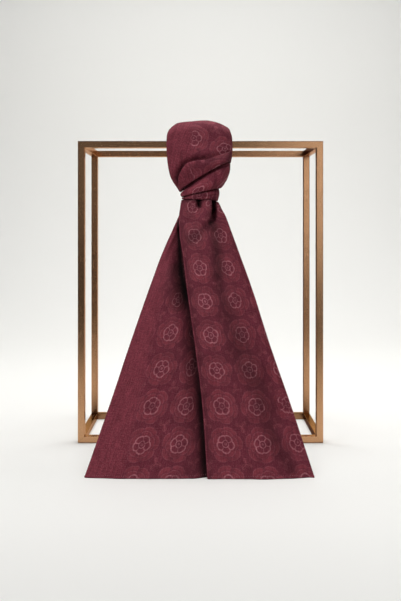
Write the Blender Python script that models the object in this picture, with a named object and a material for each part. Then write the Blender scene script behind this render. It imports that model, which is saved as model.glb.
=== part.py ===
"""A long shawl, folded lengthwise and knotted once over the front top bar of an open metal display stand.

Metres, +Z up, +Y away from the front. The origin is the middle of the whole part's footprint on the floor.
"""

import math

import bpy
from mathutils import Vector

# Stand: an open box of square tube, mitred at its eight corners.
STAND_WIDTH = 0.650
STAND_DEPTH = 0.270
STAND_HEIGHT = 0.800
STAND_FRONT = 0.010
TUBE = 0.018
TUBE_CORNER_RADIUS = 0.0012

# Cloth: every stretch is a wall of this thickness, and seats at this distance from what carries it.
CLOTH = 0.0012
GAP = 0.0003
SEAT = GAP + CLOTH / 2
FOLD_RADIUS = 0.0032
SELVEDGE_GAP = 0.0035
HEM_LIFT = 0.0008

# The bar that carries the cloth, as the cloth's middle surface meets it.
BAR_FRONT = STAND_FRONT - SEAT
BAR_BACK = STAND_FRONT + TUBE + SEAT
BAR_TOP = STAND_HEIGHT + SEAT
BAR_MIDDLE = STAND_FRONT + TUBE / 2
LEGS_FRONT = BAR_MIDDLE - SEAT
LEGS_BACK = BAR_MIDDLE + SEAT

# Colours: base colour, roughness, metallic.
WINE_CLOTH = ((0.125, 0.030, 0.042), 0.75, 0.0)
SATIN_BRONZE = ((0.45, 0.28, 0.17), 0.35, 1.0)

# The loop over the bar. Each row is one C-shaped section across it, from the front leg's tucked edge, over
# the crown, to the back leg's tucked edge: the side edges in x, the outer middle in y and z, the side flaps'
# line in y and z, the rise of the right side over the left, where between flap and outer the sides turn,
# and how far round the section reaches, in degrees from its middle.
LOOP_ROWS = (
    # left_x, right_x, outer_y, outer_z, inner_y, inner_z, tilt, side, reach
    (-0.0447, 0.0681, -0.0226, 0.7225, 0.0060, 0.7165, 0.0385, 0.20, 80),
    (-0.0495, 0.0745, -0.0280, 0.7130, 0.0120, 0.7070, 0.0385, 0.20, 84),
    (-0.0545, 0.0800, -0.0325, 0.7115, LEGS_FRONT, 0.7045, 0.0385, 0.20, 95),
    (-0.0610, 0.0812, -0.0345, 0.7185, LEGS_FRONT, 0.7125, 0.0370, 0.20, 100),
    (-0.0790, 0.0825, -0.0330, 0.7330, LEGS_FRONT, 0.7310, 0.0260, 0.25, 110),
    (-0.0870, 0.0835, -0.0270, 0.7580, 0.0125, 0.7580, 0.0110, 0.30, 135),
    (-0.0893, 0.0838, -0.0180, 0.7900, BAR_FRONT, 0.7880, 0.0000, 0.35, 150),
    (-0.0885, 0.0828, -0.0060, 0.8310, BAR_FRONT, BAR_TOP, -0.0015, 0.30, 150),
    (-0.0865, 0.0815, BAR_MIDDLE, 0.8525, BAR_MIDDLE, BAR_TOP, -0.0025, 0.30, 150),
    (-0.0885, 0.0828, 0.0450, 0.8310, BAR_BACK, BAR_TOP, -0.0015, 0.30, 150),
    (-0.0893, 0.0838, 0.0550, 0.7900, BAR_BACK, 0.7880, 0.0000, 0.35, 150),
    (-0.0870, 0.0835, 0.0610, 0.7580, 0.0255, 0.7580, 0.0110, 0.30, 135),
    (-0.0790, 0.0825, 0.0640, 0.7330, LEGS_BACK, 0.7310, 0.0260, 0.25, 110),
    (-0.0610, 0.0812, 0.0640, 0.7155, LEGS_BACK, 0.7115, 0.0370, 0.20, 100),
    (-0.0545, 0.0800, 0.0615, 0.7080, LEGS_BACK, 0.7035, 0.0385, 0.20, 95),
    (-0.0495, 0.0745, 0.0570, 0.7095, 0.0260, 0.7055, 0.0385, 0.20, 84),
    (-0.0447, 0.0681, 0.0521, 0.7190, 0.0320, 0.7150, 0.0385, 0.20, 80),
)

# The deep crease down the left of the loop's front: an arc whose inner side stands proud of its outer side.
CREASE_CENTRE_X = -0.013
CREASE_CENTRE_Z = 0.697
CREASE_RADIUS = 0.049
CREASE_PROUD = 0.0035
CREASE_SUNK = 0.0025
CREASE_STEP = 0.004
CREASE_SPREAD = 0.022
CREASE_START = 70
CREASE_FULL = 115
CREASE_END = 215
CREASE_END_FADE = 20

# The turns round the knot. Each row is a leaning ring, from the top edge tucked under the turn above,
# out over the turn's face, round its lower fold and back up inside.
WRAP_ROWS = (
    # left_x, right_x, front_y, back_y, z, tilt, arch
    (-0.0425, 0.0662, -0.0205, 0.0500, 0.7190, 0.0390, 0.0050),
    (-0.0440, 0.0680, -0.0215, 0.0510, 0.7090, 0.0390, 0.0050),
    (-0.0485, 0.0780, -0.0270, 0.0560, 0.7015, 0.0382, 0.0035),
    (-0.0515, 0.0785, -0.0315, 0.0600, 0.6943, 0.0333, 0.0030),
    (-0.0525, 0.0710, -0.0345, 0.0590, 0.6792, 0.0212, 0.0020),
    (-0.0515, 0.0590, -0.0345, 0.0540, 0.6678, 0.0132, 0.0010),
    (-0.0480, 0.0530, -0.0310, 0.0490, 0.6638, 0.0118, 0.0000),
    (-0.0440, 0.0480, -0.0265, 0.0440, 0.6663, 0.0118, 0.0000),
    (-0.0425, 0.0470, -0.0245, 0.0425, 0.6735, 0.0120, 0.0000),
)
BAND_ROWS = (
    (-0.0407, 0.0452, -0.0227, 0.0407, 0.6750, 0.0125, 0.0000),
    (-0.0412, 0.0457, -0.0232, 0.0412, 0.6655, 0.0120, 0.0000),
    (-0.0445, 0.0490, -0.0275, 0.0450, 0.6590, 0.0089, 0.0000),
    (-0.0478, 0.0495, -0.0300, 0.0455, 0.6540, 0.0048, 0.0000),
    (-0.0490, 0.0472, -0.0300, 0.0440, 0.6482, 0.0005, 0.0000),
    (-0.0465, 0.0440, -0.0270, 0.0410, 0.6437, -0.0022, 0.0000),
    (-0.0415, 0.0395, -0.0230, 0.0370, 0.6457, -0.0020, 0.0000),
    (-0.0400, 0.0380, -0.0215, 0.0355, 0.6520, -0.0008, 0.0000),
)

# The layers hidden inside the knot, from where the two ends leave them upwards.
ENDS_TOP = 0.658
INNER_ROWS = (
    # left_x, right_x, front_y, back_y, z, tilt, arch
    (-0.0200, 0.0200, -0.0040, 0.0240, ENDS_TOP + GAP, 0.0000, 0.0),
    (-0.0330, 0.0360, -0.0160, 0.0330, 0.6680, 0.0060, 0.0),
    (-0.0375, 0.0430, -0.0195, 0.0380, 0.6830, 0.0120, 0.0),
    (-0.0412, 0.0620, -0.0207, 0.0465, 0.7060, 0.0325, 0.0),
    (-0.0340, 0.0540, -0.0130, 0.0400, 0.7200, 0.0300, 0.0),
    (-0.0180, 0.0260, -0.0010, 0.0280, 0.7290, 0.0120, 0.0),
)
RING_SQUARENESS = 2.3
LOOP_SQUARENESS = 2.35

# The two hanging ends. Each row is one section, from inside the knot to the hem: its height and edges in x,
# the face's middle in y, how far back each side edge lies behind the middle, the room between the two plies
# in the middle, where and how deep the face turns in behind its neighbour, and how far its right edge lies
# above its middle.
FRONT_END_ROWS = (
    # z, left_x, right_x, y, left_back, right_back, ply_gap, tuck_x, tuck, lean
    (ENDS_TOP, -0.0355, 0.0320, -0.0180, 0.0130, 0.0140, 0.0160, 0.3, 0.0, 0.0),
    (0.6425, -0.0365, 0.0335, -0.0190, 0.0130, 0.0140, 0.0160, 0.3, 0.0, -0.0026),
    (0.6405, -0.0487, 0.0445, -0.0280, 0.0150, 0.0150, 0.0150, 0.3, 0.0, -0.0026),
    (0.6200, -0.0530, 0.0550, -0.0355, 0.0150, 0.0150, 0.0120, 0.3, 0.0, -0.0012),
    (0.6000, -0.0552, 0.0648, -0.0440, 0.0110, 0.0150, 0.0090, 0.3, 0.0, 0.0),
    (0.5600, -0.0536, 0.0789, -0.0610, 0.0070, 0.0130, 0.0070, 0.3, 0.0, 0.0),
    (0.5000, -0.0442, 0.0998, -0.0850, 0.0040, 0.0110, 0.0060, 0.3, 0.0, 0.0),
    (0.4100, -0.0312, 0.1305, -0.1200, 0.0020, 0.0090, 0.0055, 0.3, 0.0, 0.0),
    (0.2900, -0.0168, 0.1665, -0.1665, 0.0010, 0.0080, 0.0050, 0.3, 0.0, 0.0),
    (0.1500, -0.0030, 0.2130, -0.2215, 0.0010, 0.0100, 0.0045, 0.3, 0.0, 0.0),
    (HEM_LIFT, 0.0154, 0.2600, -0.2810, 0.0010, 0.0150, 0.0040, 0.3, 0.0, 0.0),
)
BACK_END_ROWS = (
    (ENDS_TOP, -0.0350, 0.0320, 0.0110, 0.0030, 0.0030, 0.0190, 0.2, 0.0, 0.0),
    (0.6425, -0.0365, 0.0335, 0.0110, 0.0030, 0.0030, 0.0190, 0.2, 0.0, -0.0026),
    (0.6395, -0.0450, 0.0400, 0.0090, 0.0030, 0.0030, 0.0220, 0.2, 0.0, -0.0026),
    (0.6200, -0.0500, 0.0390, 0.0020, 0.0020, 0.0030, 0.0200, 0.1, 0.0, -0.0012),
    (0.6000, -0.0570, 0.0380, -0.0100, 0.0010, 0.0030, 0.0160, 0.1, 0.0, 0.0),
    (0.5600, -0.0745, 0.0250, -0.0330, 0.0050, 0.0030, 0.0110, -0.0700, 0.0090, 0.0),
    (0.5000, -0.0993, 0.0150, -0.0670, 0.0070, 0.0030, 0.0090, -0.0690, 0.0150, 0.0),
    (0.4100, -0.1307, 0.0150, -0.1090, 0.0080, 0.0020, 0.0080, -0.0500, 0.0170, 0.0),
    (0.2900, -0.1704, 0.0220, -0.1610, 0.0100, 0.0010, 0.0070, -0.0310, 0.0170, 0.0),
    (0.1500, -0.2148, 0.0340, -0.2180, 0.0110, 0.0000, 0.0060, -0.0140, 0.0160, 0.0),
    (HEM_LIFT, -0.2650, 0.0500, -0.2790, 0.0130, 0.0000, 0.0050, 0.0030, 0.0160, 0.0),
)
TUCK_WIDTH = 0.014
BACK_PLY_REACH = 0.985

# Folds that run down an end: where each starts and stops in height, where it lies there across the face
# (0 at the left fold, 1 at the right selvedge), its half width in the same measure, and its depth
# (negative for a ridge).
FRONT_END_FOLDS = (
    # top_z, bottom_z, top_across, bottom_across, half_width, depth
    (0.660, 0.560, 0.46, 0.50, 0.080, 0.0080),
    (0.660, 0.520, 0.86, 0.72, 0.070, 0.0100),
    (0.620, 0.120, 0.76, 0.58, 0.130, 0.0060),
    (0.610, 0.460, 0.66, 0.44, 0.100, -0.0040),
    (0.400, -0.100, 0.30, 0.36, 0.160, -0.0030),
)
BACK_END_FOLDS = (
    (0.620, 0.420, 0.20, 0.14, 0.090, -0.0040),
    (0.520, 0.100, 0.30, 0.42, 0.150, 0.0040),
    (0.300, -0.150, 0.62, 0.66, 0.120, -0.0040),
)
FOLD_START_FADE = 0.045
FOLD_END_FADE = 0.135

# How finely each cloth is laid out.
LOOP_LENGTHWISE = 33
LOOP_ACROSS = 22
RING_AROUND = 26
END_FACE_COLUMNS = 17
END_BACK_COLUMNS = 8
SHARP_ANGLE = 40


def clear_scene():
    """Remove whatever the scene starts with."""
    for thing in list(bpy.data.objects):
        bpy.data.objects.remove(thing, do_unlink=True)


def new_material(name, finish):
    """A plain material from a colour, a roughness and a metallic value."""
    colour, roughness, metallic = finish
    material = bpy.data.materials.new(name)
    material.use_nodes = True
    shader = material.node_tree.nodes["Principled BSDF"]
    shader.inputs["Base Color"].default_value = (*colour, 1.0)
    shader.inputs["Roughness"].default_value = roughness
    shader.inputs["Metallic"].default_value = metallic
    material.diffuse_color = (*colour, 1.0)
    return material


def new_piece(name, points, faces, finish):
    """One named object with its own smooth-shaded mesh and its own material."""
    mesh = bpy.data.meshes.new(name)
    mesh.from_pydata([tuple(point) for point in points], [], faces)
    mesh.materials.append(new_material(name, finish))
    mesh.shade_smooth()
    mesh.set_sharp_from_angle(angle=math.radians(SHARP_ANGLE))
    piece = bpy.data.objects.new(name, mesh)
    bpy.context.scene.collection.objects.link(piece)
    return piece


def smooth_rows(rows, count):
    """Read the table at even steps along a smooth curve through all its rows."""
    last = len(rows) - 1
    read = []
    for step in range(count):
        place = last * step / (count - 1)
        start = min(int(place), last - 1)
        t = place - start
        before, a, b, after = (rows[min(max(start + k, 0), last)] for k in (-1, 0, 1, 2))
        read.append(tuple(catmull_rom(*four, t) for four in zip(before, a, b, after)))
    return read


def catmull_rom(p, a, b, n, t):
    """The value at t between a and b on a smooth curve whose neighbours are p and n."""
    slope_a = (b - p) / 2
    slope_b = (n - a) / 2
    drop = a - b
    return a + t * (slope_a + t * (-3 * drop - 2 * slope_a - slope_b + t * (2 * drop + slope_a + slope_b)))


def smoothstep(t):
    """0 below 0, 1 above 1, and an easy curve between."""
    t = min(max(t, 0.0), 1.0)
    return t * t * (3 - 2 * t)


def squared(value, squareness):
    """A sine or cosine bent from a round section towards a square one."""
    return math.copysign(abs(value) ** (2 / squareness), value)


def sheet(name, rows_of_points, closed):
    """A wall of cloth: a grid of points given its thickness, half to each side."""
    across = len(rows_of_points[0])
    points = [point for row in rows_of_points for point in row]
    faces = []
    for r in range(len(rows_of_points) - 1):
        for c in range(across if closed else across - 1):
            d = (c + 1) % across
            faces.append((r * across + c, r * across + d, (r + 1) * across + d, (r + 1) * across + c))
    piece = new_piece(name, points, faces, WINE_CLOTH)
    wall = piece.modifiers.new("wall", "SOLIDIFY")
    wall.thickness = CLOTH
    wall.offset = 0.0
    wall.use_even_offset = True
    return piece


def crease_rise(x, z):
    """How far the loop's front stands out beside its deep crease."""
    across = x - CREASE_CENTRE_X
    up = z - CREASE_CENTRE_Z
    turn = math.degrees(math.atan2(up, across)) % 360
    if turn > CREASE_END:
        return 0.0
    outside = math.hypot(across, up) - CREASE_RADIUS
    step = smoothstep(0.5 - outside / CREASE_STEP)
    rise = CREASE_PROUD * step - CREASE_SUNK * (1 - step)
    run = smoothstep((turn - CREASE_START) / (CREASE_FULL - CREASE_START))
    fade = smoothstep((CREASE_END - turn) / CREASE_END_FADE) * math.exp(-((outside / CREASE_SPREAD) ** 2))
    return rise * run * fade


def loop_section(row):
    """One C-shaped section of the loop: out over the face, round both side folds and in under."""
    left_x, right_x, outer_y, outer_z, inner_y, inner_z, tilt, side, reach = row
    points = []
    for step in range(LOOP_ACROSS):
        angle = math.radians(reach) * (2 * step / (LOOP_ACROSS - 1) - 1)
        sideways = squared(math.sin(angle), LOOP_SQUARENESS)
        outwards = squared(math.cos(angle), LOOP_SQUARENESS)
        depth = side + (1 - side if outwards > 0 else side) * outwards
        x = (left_x + right_x) / 2 + (right_x - left_x) / 2 * sideways
        y = inner_y + (outer_y - inner_y) * depth
        z = inner_z + (outer_z - inner_z) * depth + tilt * sideways
        if outer_y < inner_y and outwards > 0:
            y -= crease_rise(x, z) * outwards
        points.append(Vector((x, y, z)))
    return points


def ring_section(row):
    """One leaning ring round the knot."""
    left_x, right_x, front_y, back_y, z, tilt, arch = row
    points = []
    for step in range(RING_AROUND):
        angle = math.tau * step / RING_AROUND
        sideways = squared(math.cos(angle), RING_SQUARENESS)
        backwards = squared(math.sin(angle), RING_SQUARENESS)
        x = (left_x + right_x) / 2 + (right_x - left_x) / 2 * sideways
        y = (front_y + back_y) / 2 + (back_y - front_y) / 2 * backwards
        points.append(Vector((x, y, z + tilt * sideways + arch * abs(backwards))))
    return points


def fold_depth(folds, across, z):
    """How far all the folds of an end move its face back at one place."""
    total = 0.0
    for top_z, bottom_z, top_across, bottom_across, half_width, depth in folds:
        run = (top_z - z) / (top_z - bottom_z)
        centre = top_across + (bottom_across - top_across) * run
        started = smoothstep((top_z - z) / FOLD_START_FADE + 0.5)
        not_ended = smoothstep((z - bottom_z) / FOLD_END_FADE)
        total += depth * started * not_ended * math.exp(-(((across - centre) / half_width) ** 2))
    return total


def end_section(row, folds):
    """One section of a hanging end: its face, the fold at its left and the ply behind it."""
    z, left_x, right_x, y, left_back, right_back, ply_gap, tuck_x, tuck, lean = row
    start_x = left_x + FOLD_RADIUS

    def face(across):
        """The face's x, y and z at 0 to 1 across."""
        x = start_x + (right_x - start_x) * across
        side = 2 * across - 1
        bow = (left_back if side < 0 else right_back) * side * side
        turned_in = tuck * smoothstep((x - tuck_x) / TUCK_WIDTH)
        return x, y + bow + turned_in + fold_depth(folds, across, z), z + lean * side

    points = []
    for step in range(END_FACE_COLUMNS):
        points.append(Vector(face(1 - step / (END_FACE_COLUMNS - 1))))
    edge_x, edge_y, edge_z = face(0)
    for degrees in (-45, 0, 45):
        angle = math.radians(degrees)
        around_x = edge_x - FOLD_RADIUS * math.cos(angle)
        around_y = edge_y + FOLD_RADIUS * (1 + math.sin(angle))
        points.append(Vector((around_x, around_y, edge_z)))
    for step in range(END_BACK_COLUMNS):
        across = BACK_PLY_REACH * step / (END_BACK_COLUMNS - 1)
        x, face_y, level = face(across)
        edge_gap = 2 * FOLD_RADIUS + (SELVEDGE_GAP - 2 * FOLD_RADIUS) * across
        middle = 4 * across * (1 - across)
        points.append(Vector((x, face_y + edge_gap + (ply_gap - edge_gap) * middle, level)))
    return points


def square_tube(name, start, end, along, first, second):
    """A square tube between two corners of the stand, its ends mitred against the two tubes it meets."""
    half = TUBE / 2
    radius = TUBE_CORNER_RADIUS
    length = (end - start).dot(along)
    shift = GAP / 2 * math.sqrt(2)
    profile = []
    for quarter in range(4):
        centre_angle = math.radians(90 * quarter + 45)
        centre = Vector((math.copysign(half - radius, math.cos(centre_angle)),
                         math.copysign(half - radius, math.sin(centre_angle))))
        for turn in (-45, 0, 45):
            angle = centre_angle + math.radians(turn)
            profile.append(centre + radius * Vector((math.cos(angle), math.sin(angle))))
    points = []
    for far in (False, True):
        for p in profile:
            reach = max(p.x, p.y) + half + shift
            distance = length - reach if far else reach
            points.append(start + along * distance + first * (p.x + half) + second * (p.y + half))
    count = len(profile)
    faces = [(i, (i + 1) % count, count + (i + 1) % count, count + i) for i in range(count)]
    outer_edge, inner_edge = 1, 1 + count // 2
    for base, order in ((0, -1), (count, 1)):
        one_half = [base + i for i in range(outer_edge, inner_edge + 1)]
        other_half = [base + i % count for i in range(inner_edge, outer_edge + count + 1)]
        faces += [tuple(one_half[::order]), tuple(other_half[::order])]
    if along.dot(first.cross(second)) < 0:
        faces = [face[::-1] for face in faces]
    return new_piece(name, points, faces, SATIN_BRONZE)


def build_stand():
    """Four posts, four rails across and four rails front to back."""
    size = (STAND_WIDTH, STAND_DEPTH, STAND_HEIGHT)
    low = Vector((-STAND_WIDTH / 2, STAND_FRONT, 0.0))
    words = (("left", "right"), ("front", "back"), ("bottom", "top"))
    kinds = ("rail", "side_rail", "post")
    for axis in range(3):
        one, two = (other for other in range(3) if other != axis)
        for high_one in (0, 1):
            for high_two in (0, 1):
                start = low.copy()
                start[one] += size[one] * high_one
                start[two] += size[two] * high_two
                along = Vector([float(k == axis) for k in range(3)])
                first = Vector([float(k == one) * (1 - 2 * high_one) for k in range(3)])
                second = Vector([float(k == two) * (1 - 2 * high_two) for k in range(3)])
                name = "_".join(("stand", words[two][high_two], words[one][high_one], kinds[axis]))
                square_tube(name, start, start + along * size[axis], along, first, second)


def build_loop():
    """The stretch over the bar, down both sides of it to the knot."""
    rows = smooth_rows(LOOP_ROWS, LOOP_LENGTHWISE)
    sheet("shawl_loop", [loop_section(row) for row in rows], closed=False)


def build_turns():
    """The two turns that show round the knot."""
    for name, rows in (("shawl_wrap", WRAP_ROWS), ("shawl_knot_band", BAND_ROWS)):
        sheet(name, [ring_section(row) for row in rows], closed=True)


def build_inner():
    """The crossed layers hidden inside the knot, as one rounded solid."""
    rings = [ring_section(row) for row in INNER_ROWS]
    points = [point for ring in rings for point in ring]
    faces = [tuple(range(RING_AROUND))[::-1]]
    for r in range(len(rings) - 1):
        for c in range(RING_AROUND):
            d = (c + 1) % RING_AROUND
            low, high = r * RING_AROUND, (r + 1) * RING_AROUND
            faces.append((low + c, low + d, high + d, high + c))
    faces.append(tuple(range(len(points) - RING_AROUND, len(points))))
    new_piece("shawl_knot_inner", points, faces, WINE_CLOTH)


def build_ends():
    """The two ends that fan out from the knot to the floor."""
    ends = (
        ("shawl_end_front", FRONT_END_ROWS, FRONT_END_FOLDS),
        ("shawl_end_back", BACK_END_ROWS, BACK_END_FOLDS),
    )
    for name, rows, folds in ends:
        sheet(name, [end_section(row, folds) for row in rows], closed=False)


clear_scene()
build_stand()
build_loop()
build_turns()
build_inner()
build_ends()
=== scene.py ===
"""The looks of a wine-red jacquard shawl, folded lengthwise and knotted over an open metal display stand.

Metres, +Z up, +Y away from the front. Every cloth piece is a thin shell on the form of its CAD solid.
"""

import math

import bmesh
import bpy
import numpy as np
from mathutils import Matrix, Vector
from mathutils.bvhtree import BVHTree


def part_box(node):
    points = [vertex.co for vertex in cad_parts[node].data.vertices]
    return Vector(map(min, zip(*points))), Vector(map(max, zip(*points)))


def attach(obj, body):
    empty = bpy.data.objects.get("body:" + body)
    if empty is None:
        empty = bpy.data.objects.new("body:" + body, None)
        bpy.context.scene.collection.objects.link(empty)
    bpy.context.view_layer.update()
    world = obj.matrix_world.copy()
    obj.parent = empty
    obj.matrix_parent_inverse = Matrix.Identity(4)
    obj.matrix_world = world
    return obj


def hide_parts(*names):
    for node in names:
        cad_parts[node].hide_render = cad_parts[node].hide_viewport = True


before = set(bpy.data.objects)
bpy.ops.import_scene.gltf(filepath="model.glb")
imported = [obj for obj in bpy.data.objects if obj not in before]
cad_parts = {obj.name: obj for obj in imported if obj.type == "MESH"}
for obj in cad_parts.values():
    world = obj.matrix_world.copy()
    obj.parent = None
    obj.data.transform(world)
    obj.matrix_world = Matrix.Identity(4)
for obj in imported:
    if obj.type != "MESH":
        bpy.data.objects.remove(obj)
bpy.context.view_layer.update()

# Cloth, as it is cut and sewn.
CLOTH = 0.0012
GAP = 0.0003
SEAT = GAP + CLOTH / 2
FOLD_RADIUS = 0.0032
SELVEDGE_GAP = 0.0035
SELVEDGE_WIDTH = 0.0030
SELVEDGE_THICKNESS = 0.0017
HEM_LIFT = 0.0008
HEM_WIDTH = 0.0042
HEM_THICKNESS = 0.0023
HEM_PINCH = 0.0009
PINCH_PLACE = 1.08 * HEM_WIDTH
PINCH_SPREAD = 0.0007
BORDER_WIDTH = 0.085
BORDER_BLUR = 0.010
STITCH_SPACING = 0.0052
STITCH_LENGTH = 0.0026
STITCH_RADIUS = 0.00045
STITCH_SEGMENTS = 6
STITCH_RINGS = 4

# The bar that carries the cloth, as the cloth's middle surface meets it.
bar_low, bar_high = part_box("stand_top_front_rail")
BAR_FRONT = bar_low.y - SEAT
BAR_BACK = bar_high.y + SEAT
BAR_TOP = bar_high.z + SEAT
BAR_MIDDLE = (bar_low.y + bar_high.y) / 2
LEGS_FRONT = BAR_MIDDLE - SEAT
LEGS_BACK = BAR_MIDDLE + SEAT

# Colours, linear.
WINE_GROUND = (0.0990, 0.0151, 0.0255, 1.0)
WINE_PETAL = (0.151, 0.0240, 0.0348, 1.0)
WINE_LINE = (0.327, 0.1155, 0.1365, 1.0)
WINE_SHEEN = (0.95, 0.50, 0.55, 1.0)
WINE_THREAD = (0.260, 0.0900, 0.1120, 1.0)
WINE_FLECK = (0.267, 0.0920, 0.1150, 1.0)
BRONZE = (0.600, 0.335, 0.178, 1.0)
BRONZE_DARK = (0.410, 0.215, 0.108, 1.0)
BRONZE_RIM = (0.720, 0.500, 0.340, 1.0)
BRONZE_SHADE = (0.075, 0.036, 0.018, 1.0)
PALE_FLOOR = (0.86, 0.855, 0.825, 1.0)
PALE_FLOOR_CLOUD = (0.80, 0.795, 0.770, 1.0)
ROOM_LIGHT = (0.92, 0.94, 1.0, 1.0)
ROOM_SEEN = (0.78, 0.775, 0.75, 1.0)

# The weave: scales of its uneven threads along and across the cloth, of its flecks and of its soft bloom, and
# the heights of what stands out in it.
LONG_THREADS = (340.0, 34.0, 1.0)
CROSS_THREADS = (60.0, 330.0, 1.0)
FLECKS = 360.0
BLOOM = 34.0
TWILL_HEIGHT = 0.000018
STREAK_HEIGHT = 0.00010
PETAL_HEIGHT = 0.00025
LINE_HEIGHT = 0.00020
THREAD_HEIGHT = 0.00003

# Finishes. A pair holds where an effect starts and where it is full.
CLOTH_ROUGHNESS = 0.80
CLOTH_SHEEN = 0.03
CLOTH_SHEEN_ROUGHNESS = 0.40
CLOTH_GLOSS = 0.09
PETAL_SMOOTHER = 0.16
THREAD_ROUGHNESS = 0.6
THREAD_TWIST = 0.0006
BRONZE_ROUGHNESS = 0.225
BRUSHED_FINE = 900.0
BRUSHED_LONG = 9.0
BRUSHED_DEPTH = 0.000006
BRONZE_CLOUDS = 22.0
# Painted shade on the stand: darker low down at the back, a painted contact shadow along the floor, and
# darker inward faces at the right, whose reflection is painted darker too.
LOW_DOWN = (0.110, 0.018)
TO_THE_BACK = (0.02, 0.22)
BY_THE_FLOOR = (0.0032, 0.0008)
FACING_INWARDS = (-0.60, -0.90)
TO_THE_RIGHT = (0.10, 0.20)
LOW_BACK_PAINTED_SHADE = 0.55
FLOOR_PAINTED_SHADOW = 0.75
INNER_PAINTED_SHADE = 0.60
INNER_PAINTED_DARK_REFLECTION = 0.80
# The studio paper.
PAPER_ROUGHNESS = 0.9
PAPER_GLOSS = 0.2
PAPER_CLOUDS = 1.3

# The blossom's rings of petals: how many, their turn, how round they are, then their reach and their swell as
# shares of the blossom's radius.
OUTER_PETALS = (6, 0.0, 0.50, 0.81, 0.19)
MIDDLE_PETALS = (5, 0.6, 0.55, 0.60, 0.14)
INNER_PETALS = (5, math.pi / 2, 0.60, 0.40, 0.10)
BLOSSOM_TURN = math.radians(36)
SPRIG_TURN = math.radians(60)
MOTIF_TURN = 0.3
MOTIF_DRIFT = (0.0050, 0.0050, 0.0)
MOTIF_DRIFT_SCALE = 45.0

# The studio: for each light its name, place, aim, width, height and watts.
LIGHTS = (
    ("cloth_key", (-1.7, -2.5, 2.2), (0.0, 0.0, 0.40), 1.0, 1.0, 75.0),
    ("stand_card", (1.25, -3.6, 1.15), (0.1, 0.0, 0.45), 1.3, 1.9, 10.0),
    ("fill_card", (-0.9, -3.6, 1.2), (0.0, 0.0, 0.45), 2.2, 1.6, 1.7),
    ("side", (2.7, 0.2, 2.0), (0.0, 0.1, 0.1), 1.0, 1.0, 16.0),
    ("top", (0.0, 0.30, 3.0), (0.0, 0.30, 0.0), 3.0, 2.2, 107.0),
    ("backdrop", (0.0, 0.8, 2.6), (0.0, 2.9, 1.1), 3.8, 1.0, 15.0),
)
ROOM_STRENGTH = 0.05
EYE = (0.0, -2.007, 0.567)
SENSOR_WIDTH = 36.0
FOCAL_LENGTH = 45.64
LENS_SHIFT = -0.119
SWEEP_HALF_WIDTH = 4.5
SWEEP_FLOOR = (-1.2, -1.0, 1.5)
SWEEP_RADIUS = 1.4
SWEEP_HEIGHT = 4.2

# The loop over the bar: one C-shaped section to a row, from the front leg's tucked edge over the crown to
# the back leg's.
LOOP_ROWS = (
    # left_x, right_x, outer_y, outer_z, inner_y, inner_z, tilt, side, reach
    (-0.0447, 0.0681, -0.0226, 0.7225, 0.0060, 0.7165, 0.0385, 0.20, 80),
    (-0.0495, 0.0745, -0.0280, 0.7130, 0.0120, 0.7070, 0.0385, 0.20, 84),
    (-0.0545, 0.0800, -0.0325, 0.7115, LEGS_FRONT, 0.7045, 0.0385, 0.20, 95),
    (-0.0610, 0.0812, -0.0345, 0.7185, LEGS_FRONT, 0.7125, 0.0370, 0.20, 100),
    (-0.0790, 0.0825, -0.0330, 0.7330, LEGS_FRONT, 0.7310, 0.0260, 0.25, 110),
    (-0.0870, 0.0835, -0.0270, 0.7580, 0.0125, 0.7580, 0.0110, 0.30, 135),
    (-0.0893, 0.0838, -0.0180, 0.7900, BAR_FRONT, 0.7880, 0.0000, 0.35, 150),
    (-0.0885, 0.0828, -0.0060, 0.8310, BAR_FRONT, BAR_TOP, -0.0015, 0.30, 150),
    (-0.0865, 0.0815, BAR_MIDDLE, 0.8525, BAR_MIDDLE, BAR_TOP, -0.0025, 0.30, 150),
    (-0.0885, 0.0828, 0.0450, 0.8310, BAR_BACK, BAR_TOP, -0.0015, 0.30, 150),
    (-0.0893, 0.0838, 0.0550, 0.7900, BAR_BACK, 0.7880, 0.0000, 0.35, 150),
    (-0.0870, 0.0835, 0.0610, 0.7580, 0.0255, 0.7580, 0.0110, 0.30, 135),
    (-0.0790, 0.0825, 0.0640, 0.7330, LEGS_BACK, 0.7310, 0.0260, 0.25, 110),
    (-0.0610, 0.0812, 0.0640, 0.7155, LEGS_BACK, 0.7115, 0.0370, 0.20, 100),
    (-0.0545, 0.0800, 0.0615, 0.7080, LEGS_BACK, 0.7035, 0.0385, 0.20, 95),
    (-0.0495, 0.0745, 0.0570, 0.7095, 0.0260, 0.7055, 0.0385, 0.20, 84),
    (-0.0447, 0.0681, 0.0521, 0.7190, 0.0320, 0.7150, 0.0385, 0.20, 80),
)
LOOP_CROWN_ROW = 8
LOOP_SQUARENESS = 2.35
LOOP_BUNCHING = 0.28

# No creases within so many rows of its tucked edges.
LOOP_EDGE_ROWS = 0.8
LOOP_EDGE_EASE = 1.2

# How the weave lies on the loop, and the plain border at its left.
LOOP_WEAVE_LEAN = -22.0
LOOP_SHIFT = (0.012, 0.030)
LOOP_BORDER_FROM = -0.012
LOOP_BORDER_BLUR = 0.020
LOOP_BORDER_SLANT = 0.25
LOOP_BORDER_SLANT_TO = 0.07
LOOP_BORDER_END = 0.2

# How much the loop's crown stands above its plain section, from its left side (-1) to its right side (1). Its
# flat top rises a little to the right, and each side has a cut corner.
CROWN = (
    # side, rise
    (-1.00, -0.0004),
    (-0.92, -0.0020),
    (-0.80, 0.0),
    (-0.72, 0.0014),
    (-0.60, 0.0008),
    (-0.45, 0.0004),
    (-0.25, 0.0),
    (0.05, 0.0026),
    (0.25, 0.0038),
    (0.55, 0.0028),
    (0.80, 0.0014),
    (0.93, 0.0026),
    (1.00, -0.0020),
)
CROWN_EASE = 0.03

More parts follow.
